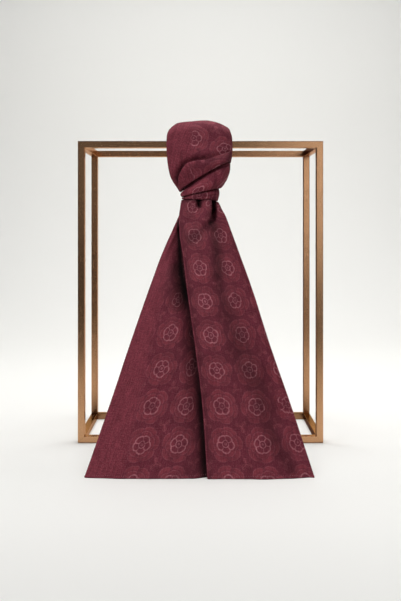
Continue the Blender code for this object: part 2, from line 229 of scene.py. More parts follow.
# The turns round the knot: leaning rings, from the top edge tucked under the turn above to the bottom edge
# folded back up inside.
WRAP_ROWS = (
    # left_x, right_x, front_y, back_y, z, tilt, arch
    (-0.0425, 0.0662, -0.0205, 0.0500, 0.7190, 0.0390, 0.0050),
    (-0.0440, 0.0680, -0.0215, 0.0510, 0.7090, 0.0390, 0.0050),
    (-0.0485, 0.0780, -0.0270, 0.0560, 0.7015, 0.0382, 0.0035),
    (-0.0515, 0.0785, -0.0315, 0.0600, 0.6943, 0.0333, 0.0030),
    (-0.0525, 0.0710, -0.0345, 0.0590, 0.6792, 0.0212, 0.0020),
    (-0.0515, 0.0590, -0.0345, 0.0540, 0.6678, 0.0132, 0.0010),
    (-0.0480, 0.0530, -0.0310, 0.0490, 0.6638, 0.0118, 0.0000),
    (-0.0440, 0.0480, -0.0265, 0.0440, 0.6663, 0.0118, 0.0000),
    (-0.0425, 0.0470, -0.0245, 0.0425, 0.6735, 0.0120, 0.0000),
)
BAND_ROWS = (
    (-0.0407, 0.0452, -0.0227, 0.0407, 0.6750, 0.0125, 0.0000),
    (-0.0412, 0.0457, -0.0232, 0.0412, 0.6655, 0.0120, 0.0000),
    (-0.0445, 0.0490, -0.0275, 0.0450, 0.6590, 0.0089, 0.0000),
    (-0.0478, 0.0495, -0.0300, 0.0455, 0.6540, 0.0048, 0.0000),
    (-0.0490, 0.0472, -0.0300, 0.0440, 0.6482, 0.0005, 0.0000),
    (-0.0465, 0.0440, -0.0270, 0.0410, 0.6437, -0.0022, 0.0000),
    (-0.0415, 0.0395, -0.0230, 0.0370, 0.6457, -0.0020, 0.0000),
    (-0.0400, 0.0380, -0.0215, 0.0355, 0.6520, -0.0008, 0.0000),
)
ENDS_TOP = 0.658
INNER_ROWS = (
    (-0.0200, 0.0200, -0.0040, 0.0240, ENDS_TOP + GAP, 0.0000, 0.0),
    (-0.0330, 0.0360, -0.0160, 0.0330, 0.6680, 0.0060, 0.0),
    (-0.0375, 0.0430, -0.0195, 0.0380, 0.6830, 0.0120, 0.0),
    (-0.0412, 0.0620, -0.0207, 0.0465, 0.7060, 0.0325, 0.0),
    (-0.0340, 0.0540, -0.0130, 0.0400, 0.7200, 0.0300, 0.0),
    (-0.0180, 0.0260, -0.0010, 0.0280, 0.7290, 0.0120, 0.0),
)
RING_SQUARENESS = 2.3
WRAP_SHIFT = (0.036, 0.062)
BAND_SHIFT = (0.010, 0.020)
RING_TOP_EASE = 0.25
RING_BOTTOM_EASE = 0.2
INNER_PLEATS = 17
INNER_PLEAT_LEAN = 4.8
INNER_PLEAT_DEPTH = 0.0022

# The two hanging ends: one level section to a row, from inside the knot to the hem.
FRONT_END_ROWS = (
    # z, left_x, right_x, y, left_back, right_back, ply_gap, tuck_x, tuck, lean
    (ENDS_TOP, -0.0355, 0.0320, -0.0180, 0.0130, 0.0140, 0.0160, 0.3, 0.0, 0.0),
    (0.6425, -0.0365, 0.0335, -0.0190, 0.0130, 0.0140, 0.0160, 0.3, 0.0, -0.0026),
    (0.6405, -0.0487, 0.0445, -0.0280, 0.0150, 0.0150, 0.0150, 0.3, 0.0, -0.0026),
    (0.6200, -0.0530, 0.0550, -0.0355, 0.0150, 0.0150, 0.0120, 0.3, 0.0, -0.0012),
    (0.6000, -0.0552, 0.0648, -0.0440, 0.0110, 0.0150, 0.0090, 0.3, 0.0, 0.0),
    (0.5600, -0.0536, 0.0789, -0.0610, 0.0070, 0.0130, 0.0070, 0.3, 0.0, 0.0),
    (0.5000, -0.0442, 0.0998, -0.0850, 0.0040, 0.0110, 0.0060, 0.3, 0.0, 0.0),
    (0.4100, -0.0322, 0.1305, -0.1200, 0.0020, 0.0090, 0.0055, 0.3, 0.0, 0.0),
    (0.2900, -0.0138, 0.1665, -0.1665, 0.0010, 0.0080, 0.0050, 0.3, 0.0, 0.0),
    (0.1500, 0.0050, 0.2130, -0.2215, 0.0010, 0.0100, 0.0045, 0.3, 0.0, 0.0),
    (HEM_LIFT, 0.0160, 0.2595, -0.2810, 0.0010, 0.0110, 0.0040, 0.3, 0.0, 0.0),
)
BACK_END_ROWS = (
    (ENDS_TOP, -0.0350, 0.0320, 0.0110, 0.0030, 0.0030, 0.0190, 0.2, 0.0, 0.0),
    (0.6425, -0.0365, 0.0335, 0.0110, 0.0030, 0.0030, 0.0190, 0.2, 0.0, -0.0026),
    (0.6395, -0.0450, 0.0400, 0.0090, 0.0030, 0.0030, 0.0220, 0.2, 0.0, -0.0026),
    (0.6200, -0.0500, 0.0390, 0.0020, 0.0020, 0.0030, 0.0200, 0.1, 0.0, -0.0012),
    (0.6000, -0.0570, 0.0380, -0.0100, 0.0010, 0.0030, 0.0160, 0.1, 0.0, 0.0),
    (0.5600, -0.0745, 0.0250, -0.0330, 0.0050, 0.0030, 0.0110, -0.0700, 0.0090, 0.0),
    (0.5000, -0.0993, 0.0150, -0.0670, 0.0070, 0.0030, 0.0090, -0.0690, 0.0150, 0.0),
    (0.4100, -0.1307, 0.0150, -0.1090, 0.0080, 0.0020, 0.0080, -0.0500, 0.0170, 0.0),
    (0.2900, -0.1704, 0.0220, -0.1610, 0.0100, 0.0010, 0.0070, -0.0310, 0.0170, 0.0),
    (0.1500, -0.2148, 0.0340, -0.2180, 0.0110, 0.0000, 0.0060, -0.0140, 0.0160, 0.0),
    (HEM_LIFT, -0.2645, 0.0500, -0.2790, 0.0085, 0.0000, 0.0050, 0.0030, 0.0160, 0.0),
)
FRONT_END_SHIFT = 0.084
BACK_END_SHIFT = 0.020
TUCK_WIDTH = 0.044
TUCK_EARLY = 0.022
TUCK_DEEPER = 0.8
TUCK_DEEPER_ABOVE = 0.25
BACK_PLY_REACH = 0.985
BACK_PLY_SHARE = 0.7
GATHER_SHARE = 0.35
FOLD_SIDE_EASE = 0.06
SELVEDGE_SIDE_EASE = 0.05

# Creases, listed one by one. Each follows a curve in x and z from its start past its bend to its end, and
# fades over a share of its length at both ends. A positive height is a ridge, a negative one is a valley.
# Power is
# 2 for a soft crease, less for a sharp one.
CREASE_ENDS_FADE = 0.22
LOOP_CREASES = (
    # start_x, start_z, bend_x, bend_z, end_x, end_z, half_width, height, power
    (-0.0560, 0.8480, -0.0725, 0.8000, -0.0738, 0.7400, 0.0050, -0.0022, 1.7),
    (-0.0740, 0.7450, -0.0705, 0.7100, -0.0590, 0.6700, 0.0045, 0.0018, 2.0),
    (0.0000, 0.7500, 0.0376, 0.7570, 0.0900, 0.7750, 0.0060, -0.0034, 1.6),
    (-0.0050, 0.7400, 0.0350, 0.7370, 0.0850, 0.7560, 0.0080, 0.0024, 2.0),
    (-0.0040, 0.7480, 0.0150, 0.7440, 0.0300, 0.7290, 0.0060, -0.0022, 1.8),
    (-0.0300, 0.8500, -0.0400, 0.8000, -0.0280, 0.7560, 0.0120, 0.0016, 2.0),
    (0.0100, 0.8500, 0.0000, 0.8100, 0.0060, 0.7700, 0.0130, -0.0014, 2.0),
    (0.0600, 0.8450, 0.0520, 0.8050, 0.0560, 0.7750, 0.0110, 0.0014, 2.0),
    (-0.0200, 0.7250, 0.0000, 0.7150, 0.0250, 0.7200, 0.0070, -0.0014, 2.0),
)
WRAP_CREASES = (
    (0.0840, 0.7340, 0.0300, 0.7150, -0.0560, 0.6560, 0.0040, -0.0022, 1.8),
    (0.0370, 0.7250, 0.0427, 0.6939, 0.0420, 0.6650, 0.0055, -0.0030, 1.8),
    (-0.0520, 0.6700, -0.0100, 0.6850, 0.0400, 0.7080, 0.0035, -0.0014, 1.7),
    (-0.0520, 0.6680, 0.0000, 0.6740, 0.0500, 0.6860, 0.0045, 0.0014, 2.0),
    (0.0500, 0.7250, 0.0560, 0.7050, 0.0540, 0.6850, 0.0060, 0.0016, 2.0),
)
BAND_CREASES = (
    (-0.0460, 0.6530, 0.0000, 0.6560, 0.0460, 0.6600, 0.0030, 0.0012, 2.0),
    (-0.0480, 0.6500, -0.0250, 0.6520, 0.0050, 0.6540, 0.0018, -0.0012, 1.5),
    (0.0480, 0.6580, 0.0250, 0.6520, 0.0050, 0.6480, 0.0020, -0.0012, 1.6),
)
FRONT_END_CREASES = (
    (0.0350, 0.6700, 0.0355, 0.6240, 0.0350, 0.5800, 0.0060, -0.0120, 2.0),
    (0.0370, 0.6250, 0.0360, 0.5900, 0.0390, 0.5300, 0.0100, -0.0060, 2.0),
    (-0.0035, 0.6600, -0.0034, 0.6390, -0.0010, 0.6180, 0.0066, -0.0150, 2.0),
    (0.0320, 0.5880, 0.0080, 0.5620, -0.0250, 0.5350, 0.0120, -0.0014, 2.0),
    (0.0540, 0.6300, 0.1150, 0.3600, 0.2700, -0.0500, 0.0300, -0.0140, 2.0),
    (-0.0100, 0.6200, 0.0330, 0.3500, 0.1650, -0.0600, 0.0280, 0.0090, 2.0),
    (0.0180, 0.6560, 0.0200, 0.6150, 0.0050, 0.5700, 0.0085, 0.0048, 2.0),
    (-0.0160, 0.6560, -0.0170, 0.6300, -0.0160, 0.5900, 0.0075, 0.0030, 2.0),
    (-0.0400, 0.6500, -0.0460, 0.5800, -0.0400, 0.5100, 0.0080, 0.0022, 2.0),
    (0.0440, 0.6500, 0.0560, 0.6000, 0.0880, 0.5100, 0.0080, 0.0030, 2.0),
    (-0.0100, 0.5200, 0.0060, 0.3600, 0.0300, 0.1500, 0.0110, 0.0020, 2.0),
    (0.0350, 0.2600, 0.0550, 0.1300, 0.0750, -0.0300, 0.0200, -0.0030, 2.0),
)
BACK_END_CREASES = (
    (-0.0520, 0.5900, -0.0690, 0.5500, -0.1030, 0.4750, 0.0055, 0.0048, 1.8),
    (-0.0640, 0.6000, -0.0790, 0.5560, -0.1010, 0.5000, 0.0070, -0.0050, 2.0),
    (-0.0700, 0.5300, -0.0760, 0.4500, -0.0700, 0.3700, 0.0140, 0.0030, 2.0),
    (-0.0850, 0.5200, -0.1250, 0.2800, -0.1750, -0.0500, 0.0350, 0.0080, 2.0),
    (-0.1350, 0.3300, -0.1700, 0.2000, -0.2050, 0.0300, 0.0160, -0.0022, 2.0),
)

# The backs have the same creases as the fronts, mirrored in x, and the loop's are a little weaker there.
LOOP_BACK_SHARE = 0.8
LOOP_BACK_MIRROR = -0.004
RING_BACK_MIRROR = 0.006

# Soft, uneven waves between the creases: their height and size. Each is a sum of so many plain waves, whose
# sizes differ from it by up to these factors.
WAVE_COUNT = 6
WAVE_FACTORS = (0.7, 1.5)
LOOP_WAVES = (0.0005, 0.030)
RING_WAVES = (0.0003, 0.022)
END_WAVES = (0.0010, 0.075)
END_WAVES_BELOW = 0.60
END_WAVES_EASE = 0.15
LOOP_SEED = 3
END_SEED = 5
INNER_SEED = 9
WRAP_SEED = 21
BAND_SEED = 22

# Folds where the cloth on one side rolls over the cloth on the other: the arc down the left of the loop, a
# shorter one at the loop's back, and the roll beside the deep hollow under the knot. Each runs through its
# points in x and z, with the side that rolls over on the left of the way.
LOOP_LAP = (
    (0.042, 0.754), (0.018, 0.747), (-0.0127, 0.742), (-0.034, 0.735),
    (-0.049, 0.717), (-0.056, 0.699), (-0.0575, 0.678), (-0.048, 0.656),
)
LOOP_BACK_LAP = (
    (-0.004, 0.744), (0.016, 0.74), (0.034, 0.725), (0.043, 0.708), (0.04, 0.69),
)
NECK_LAP = (
    (0.019, 0.574), (0.0228, 0.586), (0.0255, 0.602), (0.027, 0.62), (0.0275, 0.64), (0.0275, 0.665),
)
LAP_HALF = 0.0062
LAP_ROLL = 2.1
LAP_PROUD = 0.0038
LAP_SUNK = 0.0095
LAP_PROUD_SPREAD = 0.016
LAP_SUNK_SPREAD = 0.0065
LAP_END_SHARE = 0.30

# Soft painted shade in the broad folds and in the slit between the ends. Each stroke has its depth, then its
# points as x, z and half width.
FRONT_END_HOLLOWS = (
    # The pinched pocket under the knot, its lower lip, and the fold that runs from it down to the left.
    (0.78, (
        (0.0335, 0.665, 0.0035), (0.0335, 0.63, 0.0055), (0.0335, 0.605, 0.0085), (0.033, 0.596, 0.0085),
    )),
    (0.34, (
        (0.033, 0.596, 0.01), (0.0345, 0.578, 0.012), (0.0365, 0.56, 0.011),
    )),
    (0.44, (
        (0.033, 0.596, 0.009), (0.018, 0.577, 0.011), (0.0064, 0.5644, 0.013), (-0.005, 0.5515, 0.015),
        (-0.02, 0.5388, 0.017), (-0.038, 0.526, 0.017),
    )),
    # The long broad fold from the pocket to the right corner.
    (0.30, (
        (0.036, 0.59, 0.011), (0.037, 0.54, 0.011), (0.04, 0.51, 0.012), (0.045, 0.48, 0.014),
        (0.046, 0.43, 0.016),
    )),
    (0.42, (
        (0.036, 0.62, 0.011), (0.04, 0.52, 0.014), (0.046, 0.43, 0.015), (0.056, 0.39, 0.018),
        (0.074, 0.335, 0.024), (0.101, 0.26, 0.033), (0.127, 0.21, 0.03), (0.148, 0.155, 0.026),
        (0.162, 0.1, 0.022), (0.183, 0.055, 0.019), (0.208, 0.02, 0.016), (0.226, -0.025, 0.016),
    )),
    # The left of the neck, the small notch in its middle, and the fold edge beside the slit.
    (0.16, (
        (-0.042, 0.67, 0.024), (-0.038, 0.6, 0.024), (-0.029, 0.53, 0.02),
    )),
    (0.80, (
        (-0.0034, 0.66, 0.006), (-0.0034, 0.639, 0.0065), (-0.001, 0.618, 0.005),
    )),
    (0.32, (
        (-0.054, 0.61, 0.009), (-0.0536, 0.56, 0.009), (-0.044, 0.5, 0.012), (-0.031, 0.41, 0.012),
        (-0.011, 0.29, 0.012), (0.007, 0.15, 0.012), (0.016, 0.0, 0.012), (0.018, -0.06, 0.012),
    )),
)
BACK_END_HOLLOWS = (
    # The black wedge under the front end's fold edge, and the slit below it down to the hem.
    (0.97, (
        (-0.061, 0.63, 0.003), (-0.0575, 0.56, 0.0045), (-0.053, 0.5, 0.0105), (-0.0485, 0.455, 0.013),
        (-0.042, 0.42, 0.0125), (-0.031, 0.375, 0.0105),
    )),
    (0.74, (
        (-0.04, 0.43, 0.011), (-0.017, 0.29, 0.012), (0.0015, 0.15, 0.012), (0.0105, 0.0, 0.012),
        (0.0125, -0.06, 0.012),
    )),
    (0.60, (
        (-0.004, 0.19, 0.007), (0.006, 0.08, 0.009), (0.0125, -0.06, 0.009),
    )),
    # The softer shade beside them.
    (0.50, (
        (-0.06, 0.485, 0.013), (-0.06, 0.45, 0.025), (-0.052, 0.4, 0.029), (-0.043, 0.36, 0.027),
    )),
    (0.27, (
        (-0.03, 0.33, 0.04), (-0.006, 0.15, 0.048), (0.006, -0.08, 0.048),
    )),
)
LOOP_HOLLOWS = (
    # The right side, the dark line along the arc at the left, and the crease at the right.
    (0.14, (
        (0.064, 0.855, 0.02), (0.076, 0.81, 0.024), (0.079, 0.76, 0.022),
    )),
    (0.76, (
        (-0.04, 0.736, 0.004), (-0.054, 0.72, 0.0045), (-0.0605, 0.7, 0.0052), (-0.0622, 0.685, 0.0058),
        (-0.06, 0.67, 0.0055),
    )),
    (0.30, (
        (0.005, 0.742, 0.008), (0.0376, 0.75, 0.009), (0.0635, 0.757, 0.009), (0.095, 0.766, 0.009),
    )),
)
HOLLOW_ENDS_FADE = 0.10

# Painted light: the front of the wrap is made that much lighter instead.
WRAP_PAINTED_LIGHT = 0.24
PAINTED_LIGHT_EASE = 0.03

# How closed in each point of the cloth is: rays from it that meet cloth within reach. The more closed in, the
# more painted shade.
CLOSED_REACH = 0.024
CLOSED_RAYS = 28
CLOSED_STEP = 3
CLOSED_FROM = 0.08
CLOSED_TO = 0.40
CLOSED_SHADE = 0.40
SLANTED = (0.31, 0.17, 0.94)

# How much a point has to face the front or the back before that side's creases start on it.
LOOP_FACING_FROM = 0.15
RING_FACING_FROM = 0.1
FACING_EASE = 0.5

# How finely each cloth is laid out.
LOOP_FINE_SHARE = 0.36
LOOP_FRONT_ROWS = 120
LOOP_REST_ROWS = 84
LOOP_COLUMNS = 184
WRAP_ROW_COUNT = 64
BAND_ROW_COUNT = 52
INNER_ROW_COUNT = 44
RING_COLUMNS = 210
RING_FRONT_COLUMN = 3 * RING_COLUMNS // 4
END_ROW_COUNT = 190
END_FACE_COLUMNS = 84
END_FOLD_COLUMNS = 12
END_BACK_COLUMNS = 52
EDGE_STEPS = (0.0, 0.0022, 0.0046, 0.0072, 0.0100, 0.0135, 0.0180, 0.0250)
HEM_STEPS = 15
HEM_STEPS_REACH = 1.6 * HEM_WIDTH

# The seam's place in that grid: steps down into the hem, and columns left free at the selvedge and the fold.
SEAM_STEP = 2
SEAM_MARGIN = 3
SEAM_FOLD_MARGIN = 2

# How finely a table is read to measure along it, and the points that make a path.
MEASURING_STEPS = 600
CREASE_POINTS = 20
STROKE_POINTS = 40

# Keeps a division by a length from failing where the length is nothing.
TINY = 1e-12


# ---------------------------------------------------------------- reading tables and shaping surfaces

def smooth_rows(rows, places):
    """Read a table at fractional rows, on smooth curves that never pass beyond its own values."""
    table = np.array(rows, float)
    steps = np.diff(table, axis=0)
    before, after = steps[:-1], steps[1:]
    same_way = before * after > 0
    total = np.where(same_way, before + after, 1.0)
    slopes = np.vstack([steps[:1], np.where(same_way, 2 * before * after / total, 0.0), steps[-1:]])
    start = np.clip(np.floor(places).astype(int), 0, len(table) - 2)
    t = (places - start)[:, None]
    a, b, slope_a, slope_b = table[start], table[start + 1], slopes[start], slopes[start + 1]
    rise = b - a
    return a + t * (slope_a + t * (3 * rise - 2 * slope_a - slope_b + t * (slope_a + slope_b - 2 * rise)))


def places_at(rows, columns, distances):
    """The fractional rows at given shares (0 to 1) of the length that the named columns trace."""
    fine = np.linspace(0, len(rows) - 1, MEASURING_STEPS)
    line = smooth_rows(rows, fine)[:, columns]
    length = np.concatenate([[0], np.cumsum(np.linalg.norm(np.diff(line, axis=0), axis=1))])
    return np.interp(np.asarray(distances) * length[-1], length, fine), length[-1]


def smoothstep(t):
    """0 below 0, 1 above 1, and an easy curve between."""
    t = np.clip(t, 0.0, 1.0)
    return t * t * (3 - 2 * t)


def squared(value, squareness):
    """A sine or cosine bent from a round section towards a square one."""
    return np.copysign(np.abs(value) ** (2 / squareness), value)


def between(low, high, share):
    """The value at a share from -1 (low) to 1 (high)."""
    return (low + high) / 2 + (high - low) / 2 * share


def fade_ends(run, share):
    """1 along the middle of a run from 0 to 1, and an easy fall to 0 over that share of it at each end."""
    return smoothstep(run / share) * smoothstep((1 - run) / share)


def crease_path(*start_bend_end):
    """Points along a curve from start to end that passes through its bend."""
    start, bend, end = np.array(start_bend_end)
    t = np.linspace(0, 1, CREASE_POINTS)[:, None]
    pull = 2 * bend - (start + end) / 2
    return (1 - t) ** 2 * start + 2 * t * (1 - t) * pull + t * t * end


def from_path(x, z, path):
    """How far each point is from a path, how far along it (0 to 1) it lies, and the way to the path's right.

    The way is given as x, z and which side the point is on: above 0 on the right, below 0 on the left.
    """
    best = np.full(x.shape, np.inf)
    run, side = np.zeros(x.shape), np.zeros(x.shape)
    right_x, right_z = np.zeros(x.shape), np.zeros(x.shape)
    last = len(path) - 1
    for i in range(last):
        a, step = path[i], path[i + 1] - path[i]
        length = math.hypot(step[0], step[1])
        t = np.clip(((x - a[0]) * step[0] + (z - a[1]) * step[1]) / length ** 2, 0, 1)
        off_x, off_z = x - a[0] - t * step[0], z - a[1] - t * step[1]
        distance = np.hypot(off_x, off_z)
        closer = distance < best
        best = np.where(closer, distance, best)
        run = np.where(closer, (i + t) / last, run)
        side = np.where(closer, off_x * step[1] - off_z * step[0], side)
        right_x = np.where(closer, step[1] / length, right_x)
        right_z = np.where(closer, -step[0] / length, right_z)
    return best, run, (right_x, right_z, side)


def crease_heights(x, z, creases):
    """The sum of all the creases at each point."""
    total = np.zeros(x.shape)
    for start_x, start_z, bend_x, bend_z, end_x, end_z, half_width, height, power in creases:
        path = crease_path((start_x, start_z), (bend_x, bend_z), (end_x, end_z))
        distance, run, _ = from_path(x, z, path)
        total += height * fade_ends(run, CREASE_ENDS_FADE) * np.exp(-((distance / half_width) ** power))
    return total


def through(path_points):
    """A smooth path through the given points."""
    return smooth_rows(path_points, np.linspace(0, len(path_points) - 1, STROKE_POINTS))


def hollow_shade(x, z, hollows):
    """How much painted shade each point has in the hollows: 0 none, 1 black."""
    light = np.ones(x.shape)
    for depth, path_points in hollows:
        path = through(path_points)
        distance, run, _ = from_path(x, z, path[:, :2])
        half_width = np.interp(run, np.linspace(0, 1, len(path)), path[:, 2])
        light *= 1 - depth * fade_ends(run, HOLLOW_ENDS_FADE) * np.exp(-((distance / half_width) ** 2))
    return 1 - light


def lap_over(points, normal, path_points, weight):
    """Roll the cloth on the left of a path over the cloth on its right."""
    distance, run, away = from_path(points[..., 0], points[..., 2], through(path_points))
    run_weight = fade_ends(run, LAP_END_SHARE) * weight
    past = distance * np.sign(away[2])
    t = np.clip(past / LAP_HALF, -1, 1)
    slide = -LAP_ROLL * LAP_HALF * np.sin(math.pi * t) / math.pi
    beyond = np.abs(past) - LAP_HALF
    proud = LAP_PROUD * np.exp(-((np.maximum(beyond, 0) / LAP_PROUD_SPREAD) ** 2))
    sunk = -LAP_SUNK * np.exp(-((np.maximum(beyond, 0) / LAP_SUNK_SPREAD) ** 2))
    middle = (LAP_PROUD - LAP_SUNK) / 2 - (LAP_PROUD + LAP_SUNK) / 2 * np.sin(math.pi / 2 * t)
    rise = np.where(beyond < 0, middle, np.where(past < 0, proud, sunk))
    side = np.stack([away[0], np.zeros_like(t), away[1]], axis=2)
    return points + side * (slide * run_weight)[..., None] + normal * (rise * run_weight)[..., None]


def soft_waves(a, b, waves, seed):
    """A gentle unevenness of about the given height and size."""
    height, size = waves
    draw = np.random.default_rng(seed)
    total = np.zeros(a.shape)
    for _ in range(WAVE_COUNT):
        angle, phase = draw.uniform(0, math.tau), draw.uniform(0, math.tau)
        wave = math.tau / (size * draw.uniform(*WAVE_FACTORS))
        total += np.sin(wave * (a * math.cos(angle) + b * math.sin(angle)) + phase)
    return height * (total / 3)


def normals_of(points, closed):
    """The unit normal at each point of a grid whose rows run down the cloth."""
    down = np.gradient(points, axis=0)
    if closed:
        along = np.roll(points, -1, axis=1) - np.roll(points, 1, axis=1)
    else:
        along = np.gradient(points, axis=1)
    normal = np.cross(along, down)
    return normal / np.maximum(np.linalg.norm(normal, axis=2, keepdims=True), TINY)


def facing(normal, way, least):
    """1 where the cloth faces the front (way -1) or the back (way 1), easing to 0 round its sides."""
    return smoothstep((way * normal[..., 1] - least) / FACING_EASE)


def lengths_along(points, axis):
    """How far each point of a grid is from the first, measured along the cloth."""
    steps = np.linalg.norm(np.diff(points, axis=axis), axis=2)
    pad = [(0, 0), (0, 0)]
    pad[axis] = (1, 0)
    return np.pad(np.cumsum(steps, axis=axis), pad)


# ---------------------------------------------------------------- building meshes

def border_runs(rows, across, closed):
    """The grid's free edges, each as a closed run of (row, column)."""
    if closed:
        return [[(0, c) for c in range(across)], [(rows - 1, c) for c in reversed(range(across))]]
    run = [(0, c) for c in range(across)]
    run += [(r, across - 1) for r in range(1, rows)]
    run += [(rows - 1, c) for c in reversed(range(across - 1))]
    run += [(r, 0) for r in reversed(range(1, rows - 1))]
    return [run]


def grid_quads(rows, across, closed):
    """The faces of a grid as vertex numbers, and the rows and columns at which they start."""
    index = np.arange(rows * across).reshape(rows, across)
    spans = across if closed else across - 1
    r, c = (grid.ravel() for grid in np.meshgrid(np.arange(rows - 1), np.arange(spans), indexing="ij"))
    d = (c + 1) % across
    return np.stack([index[r, c], index[r + 1, c], index[r + 1, d], index[r, d]], axis=1), r, c


class Cloth:
    """A grid of points with a thickness, a UV map in metres and a mark where it has no pattern.

    Reference is the row and column of a point whose outer side faces the front.
    """

    def __init__(self, name, points, thickness, cloth_map, plain, closed, reference):
        self.name = name
        self.points = points
        self.closed = closed
        self.cloth_map = cloth_map
        self.half = np.broadcast_to(np.asarray(thickness, float) / 2, points.shape[:2])
        self.plain = np.broadcast_to(np.asarray(plain, float), points.shape[:2])
        # Painted shade in the cloth's hollows, 0 to 1; below zero it is painted light.
        self.hollow = np.zeros(points.shape[:2])
        normal = normals_of(points, closed)
        self.normal = -normal if normal[reference][1] > 0 else normal

    def rim(self, run, base):
        """The rounded edge along a run: its points, the grid points they follow, its faces and their maps."""
        points = self.points
        rows, across = points.shape[:2]
        row, column = np.array(run).T
        inwards_row = np.clip(row, 1, rows - 2)
        inwards_column = column if self.closed else np.clip(column, 1, across - 2)
        edge = points[row, column]
        away = edge - points[inwards_row, inwards_column]
        away /= np.maximum(np.linalg.norm(away, axis=1, keepdims=True), TINY)
        top = row * across + column
        middle = base + np.arange(len(run))
        bottom = top + rows * across
        following = np.roll(np.arange(len(run)), -1)
        edge_map = self.cloth_map[row, column]
        faces = [np.stack([one, other, other[following], one[following]], axis=1)
                 for one, other in ((top, middle), (middle, bottom))]
        maps = [np.stack([edge_map, edge_map, edge_map[following], edge_map[following]], axis=1)] * 2
        return edge + away * self.half[row, column][:, None], top, faces, maps

    def shell(self, shut):
        """The wall of cloth with rounded edges, as an object."""
        points, half, cloth_map = self.points, self.half, self.cloth_map
        rows, across = points.shape[:2]
        number = np.arange(rows * across)
        outer = points + self.normal * half[..., None]
        inner = points - self.normal * half[..., None]
        verts = [outer.reshape(-1, 3), inner.reshape(-1, 3)]
        source = [number, number]
        quad, r, c = grid_quads(rows, across, self.closed)
        corners = (cloth_map[r, c], cloth_map[r + 1, c], cloth_map[r + 1, c + 1], cloth_map[r, c + 1])
        quad_map = np.stack(corners, axis=1)
        faces = [quad[:, ::-1], quad + rows * across]
        maps = [quad_map[:, ::-1], quad_map]
        base = 2 * rows * across
        for run in border_runs(rows, across, self.closed):
            rim_points, rim_source, rim_faces, rim_maps = self.rim(run, base)
            verts.append(rim_points)
            source.append(rim_source)
            faces += rim_faces
            maps += rim_maps
            base += len(run)
        mesh = bpy.data.meshes.new(self.name)
        mesh.from_pydata(np.concatenate(verts).tolist(), [], np.concatenate(faces).tolist())
        layer = mesh.uv_layers.new(name="cloth")
        layer.data.foreach_set("uv", np.concatenate(maps).reshape(-1).astype(np.float32))
        # Painted shade for the colour, from how closed in each point is and from its hollows.
        closed_shade = CLOSED_SHADE * smoothstep((shut - CLOSED_FROM) / (CLOSED_TO - CLOSED_FROM))
        shade = 1 - (1 - closed_shade) * (1 - self.hollow)
        for mark, values in (("plain", self.plain), ("shade", shade)):
            attribute = mesh.attributes.new(mark, "FLOAT", "POINT")
            attribute.data.foreach_set("value", values.reshape(-1)[np.concatenate(source)].astype(np.float32))
        mesh.shade_smooth()
        turn_outwards(mesh)
        return add_object(self.name, mesh)


def turn_outwards(mesh):
    """Make every face of a closed mesh point out of its solid."""
    work = bmesh.new()
    work.from_mesh(mesh)
    bmesh.ops.recalc_face_normals(work, faces=work.faces)
    work.to_mesh(mesh)
    work.free()


def add_object(name, data):
    """Put a mesh, curve, light or camera into the scene."""
    thing = bpy.data.objects.new(name, data)
    bpy.context.scene.collection.objects.link(thing)
    return thing


# ---------------------------------------------------------------- the shawl's pieces

def loop_surface():
    """The loop's middle surface before and after its creases, and the shade in its hollows."""
    shares = np.concatenate([np.linspace(0, LOOP_FINE_SHARE, LOOP_FRONT_ROWS, endpoint=False),
                             np.linspace(LOOP_FINE_SHARE, 1, LOOP_REST_ROWS)])
    places, _ = places_at(LOOP_ROWS, [2, 3], shares)
    table = smooth_rows(LOOP_ROWS, places)
    left_x, right_x, outer_y, outer_z, inner_y, inner_z, tilt, side, reach = table.T[..., None]
    t = np.linspace(-1, 1, LOOP_COLUMNS)[None, :]
    angle = np.radians(reach) * t * (1 - LOOP_BUNCHING + LOOP_BUNCHING * t * t)
    sideways = squared(np.sin(angle), LOOP_SQUARENESS)
    outwards = squared(np.cos(angle), LOOP_SQUARENESS)
    depth = side + np.where(outwards > 0, 1 - side, side) * outwards
    x = between(left_x, right_x, sideways)
    y = inner_y + (outer_y - inner_y) * depth
    z = inner_z + (outer_z - inner_z) * depth + tilt * sideways
    crown_sides, crown_rises = zip(*CROWN)
    z = z + smoothstep((z - BAR_TOP) / CROWN_EASE) * np.interp(sideways, crown_sides, crown_rises)
    points = np.stack([x, y, z], axis=2)
    normal = normals_of(points, False)
    if normal[LOOP_FRONT_ROWS // 2, LOOP_COLUMNS // 2, 1] > 0:
        normal = -normal
    row = places[:, None]
    front = facing(normal, -1, LOOP_FACING_FROM) * (row < LOOP_CROWN_ROW)
    back = facing(normal, 1, LOOP_FACING_FROM) * (row > LOOP_CROWN_ROW)
    front_edge_fade = smoothstep((row - LOOP_EDGE_ROWS) / LOOP_EDGE_EASE)
    back_edge_fade = smoothstep((len(LOOP_ROWS) - 1 - LOOP_EDGE_ROWS - row) / LOOP_EDGE_EASE)
    heights = crease_heights(x, z, LOOP_CREASES) * front
    heights += LOOP_BACK_SHARE * crease_heights(LOOP_BACK_MIRROR - x, z, LOOP_CREASES) * back
    heights += soft_waves(x, z, LOOP_WAVES, LOOP_SEED) * (front + back)
    heights *= front_edge_fade
    shape = points + normal * heights[..., None]
    shape = lap_over(shape, normal, LOOP_LAP, front * front_edge_fade)
    shape = lap_over(shape, normal, LOOP_BACK_LAP, back * back_edge_fade)
    return points, shape, front * hollow_shade(x, z, LOOP_HOLLOWS)


